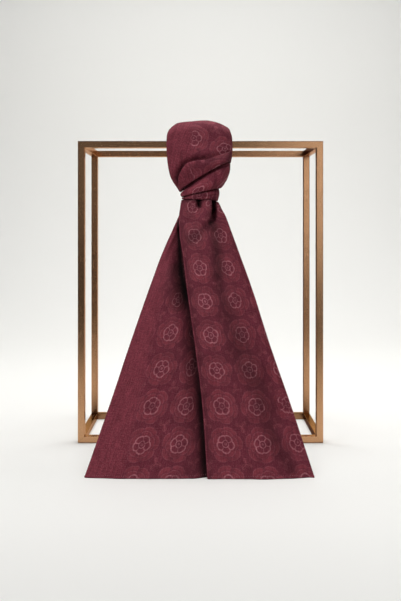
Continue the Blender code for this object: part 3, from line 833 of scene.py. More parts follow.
def loop_cloth():
    """The stretch over the bar, with a plain border down its left side that slants off at the bottom."""
    flat, points, hollow = loop_surface()
    middle = LOOP_COLUMNS // 2
    u = lengths_along(flat, 1)
    u -= u[:, middle:middle + 1]
    v = np.repeat(lengths_along(flat, 0)[:, middle:middle + 1], LOOP_COLUMNS, axis=1)
    slant = LOOP_BORDER_SLANT * np.maximum(LOOP_BORDER_SLANT_TO - v, 0)
    plain = smoothstep((LOOP_BORDER_FROM - u - slant) / LOOP_BORDER_BLUR) * (v < LOOP_BORDER_END)
    lean = math.radians(LOOP_WEAVE_LEAN)
    cloth_map = np.stack([u * math.cos(lean) + v * math.sin(lean) + LOOP_SHIFT[0],
                          v * math.cos(lean) - u * math.sin(lean) + LOOP_SHIFT[1]], axis=2)
    cloth = Cloth("shawl_loop_cloth", points, CLOTH, cloth_map, plain, False, (LOOP_FRONT_ROWS // 2, middle))
    cloth.hollow = hollow
    return cloth


def ring_surface(rows, count, creases, seed):
    """A turn round the knot: its middle surface before and after its creases."""
    places, _ = places_at(rows, [2, 4], np.linspace(0, 1, count))
    left_x, right_x, front_y, back_y, z, tilt, arch = smooth_rows(rows, places).T[..., None]
    angle = np.linspace(0, math.tau, RING_COLUMNS, endpoint=False)[None, :]
    sideways = squared(np.cos(angle), RING_SQUARENESS)
    backwards = squared(np.sin(angle), RING_SQUARENESS)
    x = between(left_x, right_x, sideways)
    y = between(front_y, back_y, backwards)
    z = z + tilt * sideways + arch * np.abs(backwards)
    points = np.stack([x, y, z], axis=2)
    normal = normals_of(points, True)
    middle = count // 2
    if normal[middle, 0, 0] < 0:
        normal = -normal
    heights = crease_heights(x, z, creases) * facing(normal, -1, RING_FACING_FROM)
    heights += crease_heights(RING_BACK_MIRROR - x, z, creases) * facing(normal, 1, RING_FACING_FROM)
    heights += soft_waves(x + y, z, RING_WAVES, seed)
    row = np.arange(count)[:, None]
    inside = smoothstep(row / (RING_TOP_EASE * count))
    inside = inside * smoothstep((count - 1 - row) / (RING_BOTTOM_EASE * count))
    return points, points + normal * (heights * inside)[..., None]


def ring_map(points, shift=(0.0, 0.0)):
    """A UV map in metres round a ring, with the closing column repeated."""
    closed = np.concatenate([points, points[:, :1]], axis=1)
    u = lengths_along(closed, 1)
    u *= u[len(u) // 2, -1] / u[:, -1:]
    front = slice(RING_FRONT_COLUMN, RING_FRONT_COLUMN + 1)
    v = np.repeat(lengths_along(closed, 0)[:, front], u.shape[1], axis=1)
    return np.stack([u + shift[0], v + shift[1]], axis=2)


def turn_cloth(name, rows, count, creases, seed, shift, painted_light=0.0):
    """A turn that shows round the knot. Its painted light makes its front that much lighter."""
    flat, points = ring_surface(rows, count, creases, seed)
    reference = (count // 2, RING_FRONT_COLUMN)
    cloth = Cloth(name, points, CLOTH, ring_map(flat, shift), 0.0, True, reference)
    # Painted light: a hollow below zero paints the colour lighter.
    cloth.hollow = -painted_light * smoothstep((points[..., 1].mean() - points[..., 1]) / PAINTED_LIGHT_EASE)
    return cloth


def inner_cloth():
    """The hidden layers inside the knot, as a pleated sleeve drawn in at both ends."""
    flat, points = ring_surface(INNER_ROWS, INNER_ROW_COUNT, (), INNER_SEED)
    centre = points.mean(axis=1, keepdims=True)
    angle = np.linspace(0, math.tau, RING_COLUMNS, endpoint=False)[None, :]
    lean = np.linspace(0, INNER_PLEAT_LEAN, INNER_ROW_COUNT)[:, None]
    pleat = np.sin(INNER_PLEATS * angle + lean) * 0.5 - 0.5
    outwards = points - centre
    outwards /= np.linalg.norm(outwards, axis=2, keepdims=True)
    points = points + outwards * (INNER_PLEAT_DEPTH * pleat - CLOTH / 2)[..., None]
    reference = (INNER_ROW_COUNT // 2, RING_FRONT_COLUMN)
    return Cloth("shawl_knot_inner_cloth", points, CLOTH, ring_map(flat), 0.0, True, reference)


def end_surface(rows, creases, lap):
    """One hanging end: its face, the fold at its left and the ply behind.

    Gives the points, how far across each column lies, each row's width and how far each row is from the hem.
    """
    _, length = places_at(rows, [0, 3], [0])
    hem_share = HEM_STEPS_REACH / length
    shares = np.concatenate([np.linspace(0, 1 - hem_share, END_ROW_COUNT, endpoint=False),
                             np.linspace(1 - hem_share, 1, HEM_STEPS)])
    places, _ = places_at(rows, [0, 3], shares)
    table = smooth_rows(rows, places)
    level, left_x, right_x, y, left_back, right_back, ply_gap, tuck_x, tuck, lean = table.T[..., None]
    start_x = left_x + FOLD_RADIUS

    def face(across, share):
        """The face's points at 0 to 1 across, with that share of its creases."""
        x = start_x + (right_x - start_x) * across
        side = 2 * across - 1
        z = level + lean * side
        bow = np.where(side < 0, left_back, right_back) * side * side
        deeper = 1 + TUCK_DEEPER * smoothstep(z / TUCK_DEEPER_ABOVE)
        turned_in = deeper * tuck * smoothstep((x - tuck_x + TUCK_EARLY) / TUCK_WIDTH)
        waves = soft_waves(x, z, END_WAVES, END_SEED) * smoothstep((END_WAVES_BELOW - z) / END_WAVES_EASE)
        edges = smoothstep(across / FOLD_SIDE_EASE) * smoothstep((1 - across) / SELVEDGE_SIDE_EASE)
        heights = share * crease_heights(x, z, creases) * edges
        points = np.stack([x, y + bow + turned_in - heights + waves, z], axis=2)
        if lap:
            normal = normals_of(points, False)
            normal = np.where(normal[..., 1:2] > 0, -normal, normal)
            points = lap_over(points, normal, lap, share * edges * np.ones_like(x))
        return points

    edge = 1 - np.array(EDGE_STEPS)
    face_across = np.concatenate([edge, np.linspace(edge[-1], 0, END_FACE_COLUMNS)[1:]])
    back_edge = BACK_PLY_REACH * edge[::-1]
    back_across = np.concatenate([np.linspace(0, back_edge[0], END_BACK_COLUMNS)[:-1], back_edge])
    front = face(face_across[None, :], 1.0)
    start = front[:, -1:]
    fold_angle = np.linspace(-math.pi / 2, math.pi / 2, END_FOLD_COLUMNS + 2)[None, 1:-1]
    turned = [start[..., 0] - FOLD_RADIUS * np.cos(fold_angle),
              start[..., 1] + FOLD_RADIUS * (1 + np.sin(fold_angle)),
              start[..., 2] + np.zeros_like(fold_angle)]
    behind = face(back_across[None, :], BACK_PLY_SHARE)
    edge_gap = 2 * FOLD_RADIUS + (SELVEDGE_GAP - 2 * FOLD_RADIUS) * back_across[None, :]
    bulge = 4 * back_across * (1 - back_across)
    behind[..., 1] += edge_gap + (ply_gap - edge_gap) * bulge[None, :]
    points = np.concatenate([front, np.stack(turned, axis=2), behind], axis=1)
    across = np.concatenate([face_across, np.zeros(END_FOLD_COLUMNS), back_across])
    return points, across, right_x - left_x, (1 - shares[:, None]) * length


def edge_thickness(points, across, width, from_hem):
    """The wall's thickness: plain cloth, its rolled hem and the cord along its selvedges."""
    hem = np.sqrt(np.clip(1 - ((from_hem / HEM_WIDTH) * 2 - 1) ** 2, 0, 1)) * (from_hem < HEM_WIDTH)
    pinch = np.exp(-(((from_hem - PINCH_PLACE) / PINCH_SPREAD) ** 2))
    down = CLOTH + (HEM_THICKNESS - CLOTH) * hem - (CLOTH - HEM_PINCH) * pinch
    from_selvedge = (1 - across)[None, :] * width
    cord = np.sqrt(np.clip(1 - (from_selvedge / SELVEDGE_WIDTH) ** 2, 0, 1))
    return np.maximum(down, CLOTH + (SELVEDGE_THICKNESS - CLOTH) * cord)


def end_cloth(name, rows, creases, lap, hollows, plain_border, shift_u):
    """One hanging end with its hem and selvedges. Also gives the two lines along which its hem is sewn."""
    points, across, width, from_hem = end_surface(rows, creases, lap)
    fold_column = len(EDGE_STEPS) + END_FACE_COLUMNS - 1
    u = lengths_along(points, 1)
    u = u - u[:, fold_column:fold_column + 1]
    full = width[-1]
    spread = (full / width) ** GATHER_SHARE
    middle = fold_column // 2
    v = np.repeat(lengths_along(points, 0)[:, middle:middle + 1], u.shape[1], axis=1)
    cloth_map = np.stack([-u * spread + shift_u, -v], axis=2)
    plain = 0.0
    if plain_border:
        plain = smoothstep((BORDER_WIDTH * width / full + BORDER_BLUR - np.abs(u)) / (2 * BORDER_BLUR))
    thickness = edge_thickness(points, across, width, from_hem)
    cloth = Cloth(name, points, thickness, cloth_map, plain, False, (len(points) // 2, middle))
    face = points[:, :fold_column]
    cloth.hollow[:, :fold_column] = hollow_shade(face[..., 0], face[..., 2], hollows)
    row = len(points) - HEM_STEPS + SEAM_STEP
    sewn = points[row] + cloth.normal[row] * (thickness[row][:, None] / 2)
    face_line = sewn[SEAM_MARGIN:fold_column - SEAM_FOLD_MARGIN]
    back_line = sewn[fold_column + END_FOLD_COLUMNS + SEAM_FOLD_MARGIN:-SEAM_MARGIN]
    return cloth, (face_line, back_line)


def sky_directions(count):
    """Directions spread over a hemisphere round +Z, denser towards its top."""
    number = np.arange(count) + 0.5
    height = np.sqrt(1 - number / count)
    turn = number * math.pi * (3 - math.sqrt(5))
    flat = np.sqrt(1 - height ** 2)
    return np.stack([flat * np.cos(turn), flat * np.sin(turn), height], axis=1)


def every_few(count):
    """Every few of so many rows or columns, with the last one always among them."""
    return np.unique(np.append(np.arange(0, count, CLOSED_STEP), count - 1))


def cloth_tree(cloths):
    """The middle surfaces of all the cloths, ready to have rays cast at them."""
    corners, faces, base = [], [], 0
    for cloth in cloths:
        rows, across = cloth.points.shape[:2]
        corners.append(cloth.points.reshape(-1, 3))
        faces.append(grid_quads(rows, across, cloth.closed)[0] + base)
        base += rows * across
    return BVHTree.FromPolygons(np.concatenate(corners).tolist(), np.concatenate(faces).tolist())


def shut_by(tree, start, way):
    """How near each point's ray meets cloth: 1 at once, 0 out of reach."""
    shut = np.zeros(start.shape[:2])
    for spot in np.ndindex(shut.shape):
        distance = tree.ray_cast(start[spot], way[spot], CLOSED_REACH)[3]
        if distance is not None:
            shut[spot] = 1 - distance / CLOSED_REACH
    return shut


def closed_in(cloths):
    """For each cloth, how closed in its outer side is at each point: 0 open, 1 shut away."""
    tree = cloth_tree(cloths)
    results = []
    for cloth in cloths:
        rows, across = cloth.points.shape[:2]
        row_picks, column_picks = every_few(rows), every_few(across)
        picks = np.ix_(row_picks, column_picks)
        up = cloth.normal[picks]
        side = np.cross(up, np.broadcast_to(SLANTED, up.shape))
        side /= np.maximum(np.linalg.norm(side, axis=2, keepdims=True), TINY)
        front = np.cross(up, side)
        start = cloth.points[picks] + up * CLOTH
        shut = sum(shut_by(tree, start, side * ray[0] + front * ray[1] + up * ray[2])
                   for ray in sky_directions(CLOSED_RAYS)) / CLOSED_RAYS
        wide = np.stack([np.interp(np.arange(across), column_picks, line) for line in shut])
        results.append(np.stack([np.interp(np.arange(rows), row_picks, line) for line in wide.T], axis=1))
    return results


# ---------------------------------------------------------------- node helpers and materials

class Tree:
    """Short calls that add nodes to a tree and join them."""

    def __init__(self, tree):
        self.tree = tree

    def node(self, kind, **settings):
        """A new node with its settings."""
        node = self.tree.nodes.new(kind)
        for key, value in settings.items():
            setattr(node, key, value)
        return node

    def feed(self, socket, value):
        """Join a socket to another, or give it a value."""
        if isinstance(value, bpy.types.NodeSocket):
            self.tree.links.new(value, socket)
        else:
            socket.default_value = value

    def math(self, operation, *values):
        """A Math node's result."""
        node = self.node("ShaderNodeMath", operation=operation)
        for socket, value in zip(node.inputs, values):
            self.feed(socket, value)
        return node.outputs[0]

    def total(self, *values):
        """The sum of several values."""
        result = values[0]
        for value in values[1:]:
            result = self.math("ADD", result, value)
        return result

    def product(self, *values):
        """The product of several values."""
        result = values[0]
        for value in values[1:]:
            result = self.math("MULTIPLY", result, value)
        return result

    def highest(self, *values):
        """The highest of several values."""
        result = values[0]
        for value in values[1:]:
            result = self.math("MAXIMUM", result, value)
        return result

    def raised(self, base, value, share):
        """A base with that share of a value on top."""
        return self.total(self.product(value, share), base)

    def split(self, vector):
        """A vector's three parts."""
        node = self.node("ShaderNodeSeparateXYZ")
        self.feed(node.inputs[0], vector)
        return node.outputs

    def fade(self, value, low, high):
        """0 at low and 1 at high, easy between. High may lie below low."""
        node = self.node("ShaderNodeMapRange", interpolation_type="SMOOTHSTEP")
        for name, given in (("Value", value), ("From Min", low), ("From Max", high)):
            self.feed(node.inputs[name], given)
        return node.outputs[0]

    def mix(self, factor, one, other, blend="MIX"):
        """Two colours mixed."""
        node = self.node("ShaderNodeMix", data_type="RGBA", blend_type=blend)
        self.feed(node.inputs["Factor"], factor)
        colours = [socket for socket in node.inputs if socket.type == "RGBA"]
        for socket, given in zip(colours, (one, other)):
            self.feed(socket, given)
        return next(socket for socket in node.outputs if socket.type == "RGBA")

    def noise(self, vector, scale, detail=2.0, roughness=0.5):
        """A noise texture's value."""
        node = self.node("ShaderNodeTexNoise", noise_dimensions="3D")
        settings = {"Vector": vector, "Scale": scale, "Detail": detail, "Roughness": roughness}
        for name, given in settings.items():
            self.feed(node.inputs[name], given)
        return node.outputs[0]

    def stretched(self, vector, scale):
        """A vector scaled differently along each axis."""
        node = self.node("ShaderNodeMapping")
        self.feed(node.inputs["Vector"], vector)
        self.feed(node.inputs["Scale"], scale)
        return node.outputs[0]

    def group(self, tree, **inputs):
        """A node group with its inputs, named with _ for a space."""
        node = self.node("ShaderNodeGroup", node_tree=tree)
        for name, given in inputs.items():
            self.feed(node.inputs[name.replace("_", " ")], given)
        return node.outputs


def new_group(name, inputs, outputs):
    """An empty shader node group. Returns its tree helper, its inputs and a function that sets an output."""
    tree = bpy.data.node_groups.new(name, "ShaderNodeTree")
    for socket, kind, value in inputs:
        made = tree.interface.new_socket(socket, in_out="INPUT", socket_type=kind)
        if value is not None:
            made.default_value = value
    for socket in outputs:
        tree.interface.new_socket(socket, in_out="OUTPUT", socket_type="NodeSocketFloat")
    helper = Tree(tree)
    given = helper.node("NodeGroupInput").outputs
    result = helper.node("NodeGroupOutput").inputs
    return helper, given, result


def blossom_group():
    """A woven repeat: round blossoms on a square lattice, with a three-leaf sprig between each four.

    A blossom has two rings of soft petals round an outlined flower of five petals with a plain centre.
    """
    t, given, result = new_group("woven blossoms", (
        ("Vector", "NodeSocketVector", None),
        ("Pitch", "NodeSocketFloat", 0.088),
        ("Blossom Radius", "NodeSocketFloat", 0.041),
        ("Sprig Radius", "NodeSocketFloat", 0.014),
        ("Line Width", "NodeSocketFloat", 0.0012),
    ), ("Petals", "Lines"))
    pitch, radius, line = given["Pitch"], given["Blossom Radius"], given["Line Width"]
    cell = [t.math("DIVIDE", part, pitch) for part in t.split(given["Vector"])[:2]]

    def polar(offset, turn_each):
        """Distance and angle from the nearest motif's centre, every other motif turned."""
        whole = [t.math("FLOOR", t.math("ADD", c, offset)) for c in cell]
        local = [t.product(t.math("SUBTRACT", t.math("ADD", c, offset - 0.5), w), pitch)
                 for c, w in zip(cell, whole)]
        distance = t.math("SQRT", t.total(*(t.math("MULTIPLY", p, p) for p in local)))
        odd = t.math("PINGPONG", t.total(*whole), 1.0)
        angle = t.total(t.math("ARCTAN2", local[1], local[0]), t.product(odd, turn_each), MOTIF_TURN)
        return distance, angle

    def lobes(angle, count, phase, power):
        """A value that is 1 at the tip of each of so many petals and 0 between them."""
        wave = t.math("ABSOLUTE", t.math("COSINE", t.total(t.product(angle, count / 2), phase)))
        return t.math("POWER", wave, power)

    def band(value, width):
        """1 on a line and 0 away from it."""
        return t.fade(t.math("ABSOLUTE", value), t.product(width, 1.5), t.product(width, 0.4))

    distance, angle = polar(0.0, BLOSSOM_TURN)

    def petal_ring(count, phase, roundness, reach, swell):
        """How far each point is past the edge of a ring of petals, and its distance from their clefts."""
        lobe = lobes(angle, count, phase, roundness)
        edge = t.product(radius, t.raised(reach, lobe, swell))
        return t.math("SUBTRACT", distance, edge), t.product(distance, lobes(angle, count, phase, 1.0))

    past_outer, from_outer_cleft = petal_ring(*OUTER_PETALS)
    past_middle, from_middle_cleft = petal_ring(*MIDDLE_PETALS)
    past_inner, from_inner_cleft = petal_ring(*INNER_PETALS)
    outer_petals = t.product(t.fade(past_outer, 0.0012, -0.0014), t.fade(past_outer, -0.0420, -0.0010),
                             t.fade(from_outer_cleft, 0.0, 0.0150), t.fade(past_middle, -0.0010, 0.0050))
    middle_petals = t.product(t.fade(past_middle, 0.0010, -0.0010), t.fade(past_middle, -0.0300, -0.0008),
                              t.fade(from_middle_cleft, 0.0, 0.0120))
    petals = t.highest(outer_petals, middle_petals)

    outline = t.highest(band(past_outer, line), t.product(band(past_middle, line), 1.2))
    inner_outline = band(past_inner, t.product(line, 1.4))
    cleft = t.product(band(t.product(from_outer_cleft, 0.33), line), t.fade(past_outer, 0.0, -0.001),
                      t.fade(past_middle, -0.001, 0.001))
    inner_cleft = t.product(band(t.product(from_inner_cleft, 0.4), line), t.fade(past_inner, 0.0, -0.001),
                            t.fade(distance, 0.0075, 0.0090))
    centre = band(t.math("SUBTRACT", distance, t.product(radius, 0.18)), line)
    heart = t.fade(distance, 0.0036, 0.0026)

    sprig_distance, sprig_angle = polar(0.5, SPRIG_TURN)
    leaf_edge = t.product(given["Sprig Radius"], lobes(sprig_angle, 3, 0.0, 1.5))
    past_leaf = t.math("SUBTRACT", sprig_distance, leaf_edge)
    leaves = t.fade(past_leaf, 0.0008, -0.0008)
    leaf_line = band(past_leaf, t.product(line, 0.8))
    from_vein = t.product(sprig_distance, lobes(sprig_angle, 3, math.pi / 2, 1.0), 0.66)
    vein = t.product(band(from_vein, t.product(line, 0.6)), leaves)

    t.feed(result["Petals"], t.highest(petals, t.product(leaves, 0.6)))
    strokes = ((outline, 0.20), (inner_outline, 1.0), (cleft, 0.06), (inner_cleft, 0.7), (centre, 0.8),
               (heart, 0.5), (leaf_line, 0.25), (vein, 0.3))
    t.feed(result["Lines"], t.highest(*(t.product(stroke, strength) for stroke, strength in strokes)))
    return t.tree


def twill_group():
    """A fine diagonal weave with slubs: uneven threads along and across the cloth, and pale flecks."""
    t, given, result = new_group("twill and slubs", (
        ("Vector", "NodeSocketVector", None),
        ("Thread Pitch", "NodeSocketFloat", 0.0011),
    ), ("Twill", "Slubs", "Flecks", "Bloom"))
    across, along, _ = t.split(given["Vector"])
    diagonal = t.math("DIVIDE", t.total(across, along), given["Thread Pitch"])
    t.feed(result["Twill"], t.math("SINE", t.product(diagonal, math.tau)))
    long_threads = t.noise(t.stretched(given["Vector"], LONG_THREADS), 1.0, 3.0, 0.6)
    cross_threads = t.noise(t.stretched(given["Vector"], CROSS_THREADS), 1.0, 2.0, 0.6)
    t.feed(result["Slubs"], t.total(t.product(long_threads, 0.62), t.product(cross_threads, 0.38)))
    t.feed(result["Flecks"], t.noise(given["Vector"], FLECKS, 2.0, 0.6))
    t.feed(result["Bloom"], t.noise(given["Vector"], BLOOM, 3.0, 0.55))
    return t.tree


def new_material(name, roughness, metallic=0.0):
    """A material with its Principled shader and a tree helper."""
    material = bpy.data.materials.new(name)
    material.use_nodes = True
    t = Tree(material.node_tree)
    shader = material.node_tree.nodes["Principled BSDF"]
    shader.inputs["Roughness"].default_value = roughness
    shader.inputs["Metallic"].default_value = metallic
    return material, t, shader.inputs


def bumped(t, sockets, height):
    """Feed a height in metres to the shader's normal."""
    bump = t.node("ShaderNodeBump")
    bump.inputs["Strength"].default_value = 1.0
    bump.inputs["Distance"].default_value = 1.0
    t.feed(bump.inputs["Height"], height)
    t.feed(sockets["Normal"], bump.outputs[0])


def drifted(t, coordinates):
    """Coordinates that wander a little, so that no two motifs are quite alike."""
    drift = t.node("ShaderNodeTexNoise")
    t.feed(drift.inputs["Vector"], coordinates)
    drift.inputs["Scale"].default_value = MOTIF_DRIFT_SCALE
    wandering = t.node("ShaderNodeVectorMath", operation="MULTIPLY_ADD")
    t.feed(wandering.inputs[0], drift.outputs["Color"])
    wandering.inputs[1].default_value = MOTIF_DRIFT
    t.feed(wandering.inputs[2], coordinates)
    return wandering.outputs[0]


def jacquard_material(blossoms, twill):
    """Wine-red tone-on-tone jacquard with a soft low sheen."""
    material, t, sockets = new_material("wine jacquard", CLOTH_ROUGHNESS)
    coordinates = t.node("ShaderNodeUVMap", uv_map="cloth").outputs[0]
    motif = t.group(blossoms, Vector=drifted(t, coordinates))
    weave = t.group(twill, Vector=coordinates)
    plain = t.node("ShaderNodeAttribute", attribute_name="plain").outputs["Fac"]
    shade = t.node("ShaderNodeAttribute", attribute_name="shade").outputs["Fac"]
    shown = t.math("SUBTRACT", 1.0, plain)
    bloom = t.fade(weave["Bloom"], 0.30, 0.70)
    streaks = t.fade(weave["Slubs"], 0.34, 0.66)
    flecks = t.fade(weave["Flecks"], 0.42, 0.74)

    # The motif is uneven, and the streaks break its lines.
    petals = t.product(motif["Petals"], shown, t.raised(0.5, bloom, 0.5))
    broken = t.total(t.product(bloom, 0.35), t.product(streaks, 0.55), 0.30)
    lines = t.product(motif["Lines"], shown, broken)
    colour = t.mix(t.highest(petals, t.product(plain, 0.45)), WINE_GROUND, WINE_PETAL)
    colour = t.mix(t.product(lines, 0.8), colour, WINE_LINE)
    colour = t.mix(t.product(flecks, t.raised(0.22, plain, 0.06)), colour, WINE_FLECK)

    # The streaks go darker and lighter round the cloth's own tone, and the painted shade in the hollows takes
    # the light away.
    streak_strength = t.raised(0.36, plain, 0.16)
    tone = t.raised(1.0, t.math("SUBTRACT", streaks, 0.5), streak_strength)
    tone = t.product(tone, t.raised(0.92, bloom, 0.16))
    tone = t.product(tone, t.math("SUBTRACT", 1.0, shade))
    grey = t.node("ShaderNodeCombineColor")
    for socket in grey.inputs:
        t.feed(socket, tone)
    t.feed(sockets["Base Color"], t.mix(1.0, colour, grey.outputs[0], "MULTIPLY"))
    smoother = t.product(motif["Petals"], shown, PETAL_SMOOTHER)
    t.feed(sockets["Roughness"], t.math("SUBTRACT", CLOTH_ROUGHNESS, smoother))
    sockets["Sheen Weight"].default_value = CLOTH_SHEEN
    sockets["Sheen Roughness"].default_value = CLOTH_SHEEN_ROUGHNESS
    sockets["Sheen Tint"].default_value = WINE_SHEEN
    sockets["Specular IOR Level"].default_value = CLOTH_GLOSS
    bumped(t, sockets, t.total(t.product(weave["Twill"], TWILL_HEIGHT), t.product(streaks, STREAK_HEIGHT),
                               t.product(petals, PETAL_HEIGHT), t.product(lines, LINE_HEIGHT)))
    return material


def thread_material(twill):
    """The hem's sewing thread, a shade lighter than the cloth."""
    material, t, sockets = new_material("wine sewing thread", THREAD_ROUGHNESS)
    place = t.node("ShaderNodeTexCoord").outputs["Object"]
    weave = t.group(twill, Vector=place, Thread_Pitch=THREAD_TWIST)
    t.feed(sockets["Base Color"], t.mix(t.fade(weave["Bloom"], 0.3, 0.7), WINE_THREAD, WINE_PETAL))
    bumped(t, sockets, t.product(weave["Twill"], THREAD_HEIGHT))
    return material


def grain_group():
    """Satin plating: fine brushed lines along one axis, and a cloudy unevenness."""
    t, given, result = new_group("brushed grain", (
        ("Vector", "NodeSocketVector", None),
        ("Stretch", "NodeSocketVector", (BRUSHED_FINE, BRUSHED_FINE, BRUSHED_LONG)),
    ), ("Lines", "Clouds"))
    scaled = t.node("ShaderNodeVectorMath", operation="MULTIPLY")
    t.feed(scaled.inputs[0], given["Vector"])
    t.feed(scaled.inputs[1], given["Stretch"])
    t.feed(result["Lines"], t.noise(scaled.outputs[0], 1.0, 3.0, 0.65))
    t.feed(result["Clouds"], t.noise(given["Vector"], BRONZE_CLOUDS, 4.0, 0.6))
    return t.tree


def bronze_material(name, grain, stretch):
    """Satin bronze on a tube whose brushed lines run along it, with painted shade low at the back, along the
    floor and on the inward faces at the right.
    """
    material, t, sockets = new_material(name, BRONZE_ROUGHNESS, 1.0)
    where = t.node("ShaderNodeTexCoord").outputs
    brushed = t.group(grain, Vector=where["Object"], Stretch=stretch)
    cloudy = t.fade(brushed["Clouds"], 0.35, 0.70)
    fine = t.fade(brushed["Lines"], 0.30, 0.70)
    worn = t.total(t.product(cloudy, 0.07), t.product(fine, 0.12), 0.14)
    # Painted shade: darker low at the back, a painted contact shadow by the floor, and a painted dark
    # reflection on the faces that look inwards at the right.
    x, y, z = t.split(where["Object"])
    low_and_back = t.product(t.fade(z, *LOW_DOWN), t.fade(y, *TO_THE_BACK))
    inner_right = t.product(t.fade(t.split(where["Normal"])[0], *FACING_INWARDS), t.fade(x, *TO_THE_RIGHT))
    by_the_floor = t.fade(z, *BY_THE_FLOOR)
    painted_shade = t.highest(t.product(low_and_back, LOW_BACK_PAINTED_SHADE), t.product(by_the_floor, FLOOR_PAINTED_SHADOW),
                       t.product(inner_right, INNER_PAINTED_SHADE))
    t.feed(sockets["Base Color"], t.mix(painted_shade, t.mix(worn, BRONZE, BRONZE_DARK), BRONZE_SHADE))
    # The same inward faces also get a painted dark reflection in their tint.
    painted_dark_reflection = t.product(inner_right, INNER_PAINTED_DARK_REFLECTION)
    t.feed(sockets["Specular Tint"], t.mix(painted_dark_reflection, BRONZE_RIM, BRONZE_SHADE))
    t.feed(sockets["Roughness"], t.total(t.product(cloudy, 0.02), t.product(fine, 0.04), BRONZE_ROUGHNESS))
    bumped(t, sockets, t.product(fine, BRUSHED_DEPTH))
    return material


def floor_material():
    """Matt pale studio paper."""
    material, t, sockets = new_material("pale studio paper", PAPER_ROUGHNESS)
    soft = t.noise(t.node("ShaderNodeTexCoord").outputs["Object"], PAPER_CLOUDS, 2.0)
    t.feed(sockets["Base Color"], t.mix(t.product(soft, 0.04), PALE_FLOOR, PALE_FLOOR_CLOUD))
    sockets["Specular IOR Level"].default_value = PAPER_GLOSS
    return material


# ---------------------------------------------------------------- stitches

def stitch_tree(thread):
    """Geometry nodes that lay small stitches along every line of a mesh."""
    tree = bpy.data.node_groups.new("stitches along lines", "GeometryNodeTree")
    tree.interface.new_socket("Geometry", in_out="INPUT", socket_type="NodeSocketGeometry")
    for name in ("Spacing", "Length", "Radius"):
        tree.interface.new_socket(name, in_out="INPUT", socket_type="NodeSocketFloat")
    tree.interface.new_socket("Geometry", in_out="OUTPUT", socket_type="NodeSocketGeometry")
    t = Tree(tree)
    given = t.node("NodeGroupInput").outputs
    curve = t.node("GeometryNodeMeshToCurve")
    t.feed(curve.inputs["Mesh"], given["Geometry"])
    even = t.node("GeometryNodeResampleCurve", mode="LENGTH")
    t.feed(even.inputs["Curve"], curve.outputs[0])
    t.feed(even.inputs["Length"], given["Spacing"])
    bead = t.node("GeometryNodeMeshUVSphere")
    bead.inputs["Segments"].default_value = STITCH_SEGMENTS
    bead.inputs["Rings"].default_value = STITCH_RINGS
    bead.inputs["Radius"].default_value = 1.0
    size = t.node("ShaderNodeCombineXYZ")
    t.feed(size.inputs[0], given["Radius"])
    t.feed(size.inputs[1], given["Radius"])
    t.feed(size.inputs[2], t.math("MULTIPLY", given["Length"], 0.5))
    shaped = t.node("GeometryNodeTransform")
    t.feed(shaped.inputs["Geometry"], bead.outputs["Mesh"])
    t.feed(shaped.inputs["Scale"], size.outputs[0])
    aim = t.node("FunctionNodeAlignRotationToVector", axis="Z")
    t.feed(aim.inputs["Vector"], t.node("GeometryNodeInputTangent").outputs[0])
    placed = t.node("GeometryNodeInstanceOnPoints")
    t.feed(placed.inputs["Points"], even.outputs[0])
    t.feed(placed.inputs["Instance"], shaped.outputs[0])
    t.feed(placed.inputs["Rotation"], aim.outputs[0])
    real = t.node("GeometryNodeRealizeInstances")
    t.feed(real.inputs[0], placed.outputs[0])
    dyed = t.node("GeometryNodeSetMaterial")
    t.feed(dyed.inputs["Geometry"], real.outputs[0])
    dyed.inputs["Material"].default_value = thread
    t.feed(t.node("NodeGroupOutput").inputs["Geometry"], dyed.outputs[0])
    return tree


def sew(name, lines, tree, thread):
    """Stitches along lines, as one plain mesh."""
    mesh = bpy.data.meshes.new(name + "_lines")
    points = np.concatenate(lines)
    edges, start = [], 0
    for line in lines:
        edges += [(start + i, start + i + 1) for i in range(len(line) - 1)]
        start += len(line)
    mesh.from_pydata(points.tolist(), edges, [])
    guide = add_object(name + "_guide", mesh)
    modifier = guide.modifiers.new("stitches", "NODES")
    modifier.node_group = tree
    values = {"Spacing": STITCH_SPACING, "Length": STITCH_LENGTH, "Radius": STITCH_RADIUS}
    for socket in tree.interface.items_tree:
        if socket.name in values:
            modifier[socket.identifier] = values[socket.name]
    bpy.context.view_layer.update()
    evaluated = guide.evaluated_get(bpy.context.evaluated_depsgraph_get())
    made = bpy.data.meshes.new_from_object(evaluated)
    made.name = name
    bpy.data.objects.remove(guide, do_unlink=True)
    made.materials.clear()
    made.materials.append(thread)
    made.shade_smooth()
    return add_object(name, made)


# ---------------------------------------------------------------- studio

def build_floor(material):
    """A seamless sweep of paper: floor, easy curve and wall."""
    profile = [(y, 0.0) for y in SWEEP_FLOOR]
    back = SWEEP_FLOOR[-1]
    for degrees in range(6, 91, 6):
        angle = math.radians(degrees)
        profile.append((back + SWEEP_RADIUS * math.sin(angle), SWEEP_RADIUS * (1 - math.cos(angle))))
    profile.append((back + SWEEP_RADIUS, SWEEP_HEIGHT))
    points = [(side * SWEEP_HALF_WIDTH, y, z) for y, z in profile for side in (-1, 1)]
    faces = [(2 * i, 2 * i + 1, 2 * i + 3, 2 * i + 2) for i in range(len(profile) - 1)]
    mesh = bpy.data.meshes.new("studio_sweep")
    mesh.from_pydata(points, [], faces)
    mesh.materials.append(material)
    mesh.shade_smooth()
    add_object("studio_sweep", mesh)


def area_light(name, place, aim, width, height, watts):
    """A soft white light that points at a place."""
    data = bpy.data.lights.new(name, "AREA")
    data.shape = "RECTANGLE"
    data.size, data.size_y = width, height
    data.energy = watts
    light = add_object(name, data)
    light.location = place
    light.rotation_euler = (Vector(aim) - Vector(place)).to_track_quat("-Z", "Y").to_euler()
    return light


def build_camera():
    """The camera, level, in front of the stand."""
    camera = bpy.data.cameras.new("camera")
    camera.sensor_width = SENSOR_WIDTH
    camera.lens = FOCAL_LENGTH
    camera.shift_y = LENS_SHIFT
    eye = add_object("camera", camera)
    eye.location = EYE
    eye.rotation_euler = (math.radians(90), 0.0, 0.0)
    bpy.context.scene.camera = eye


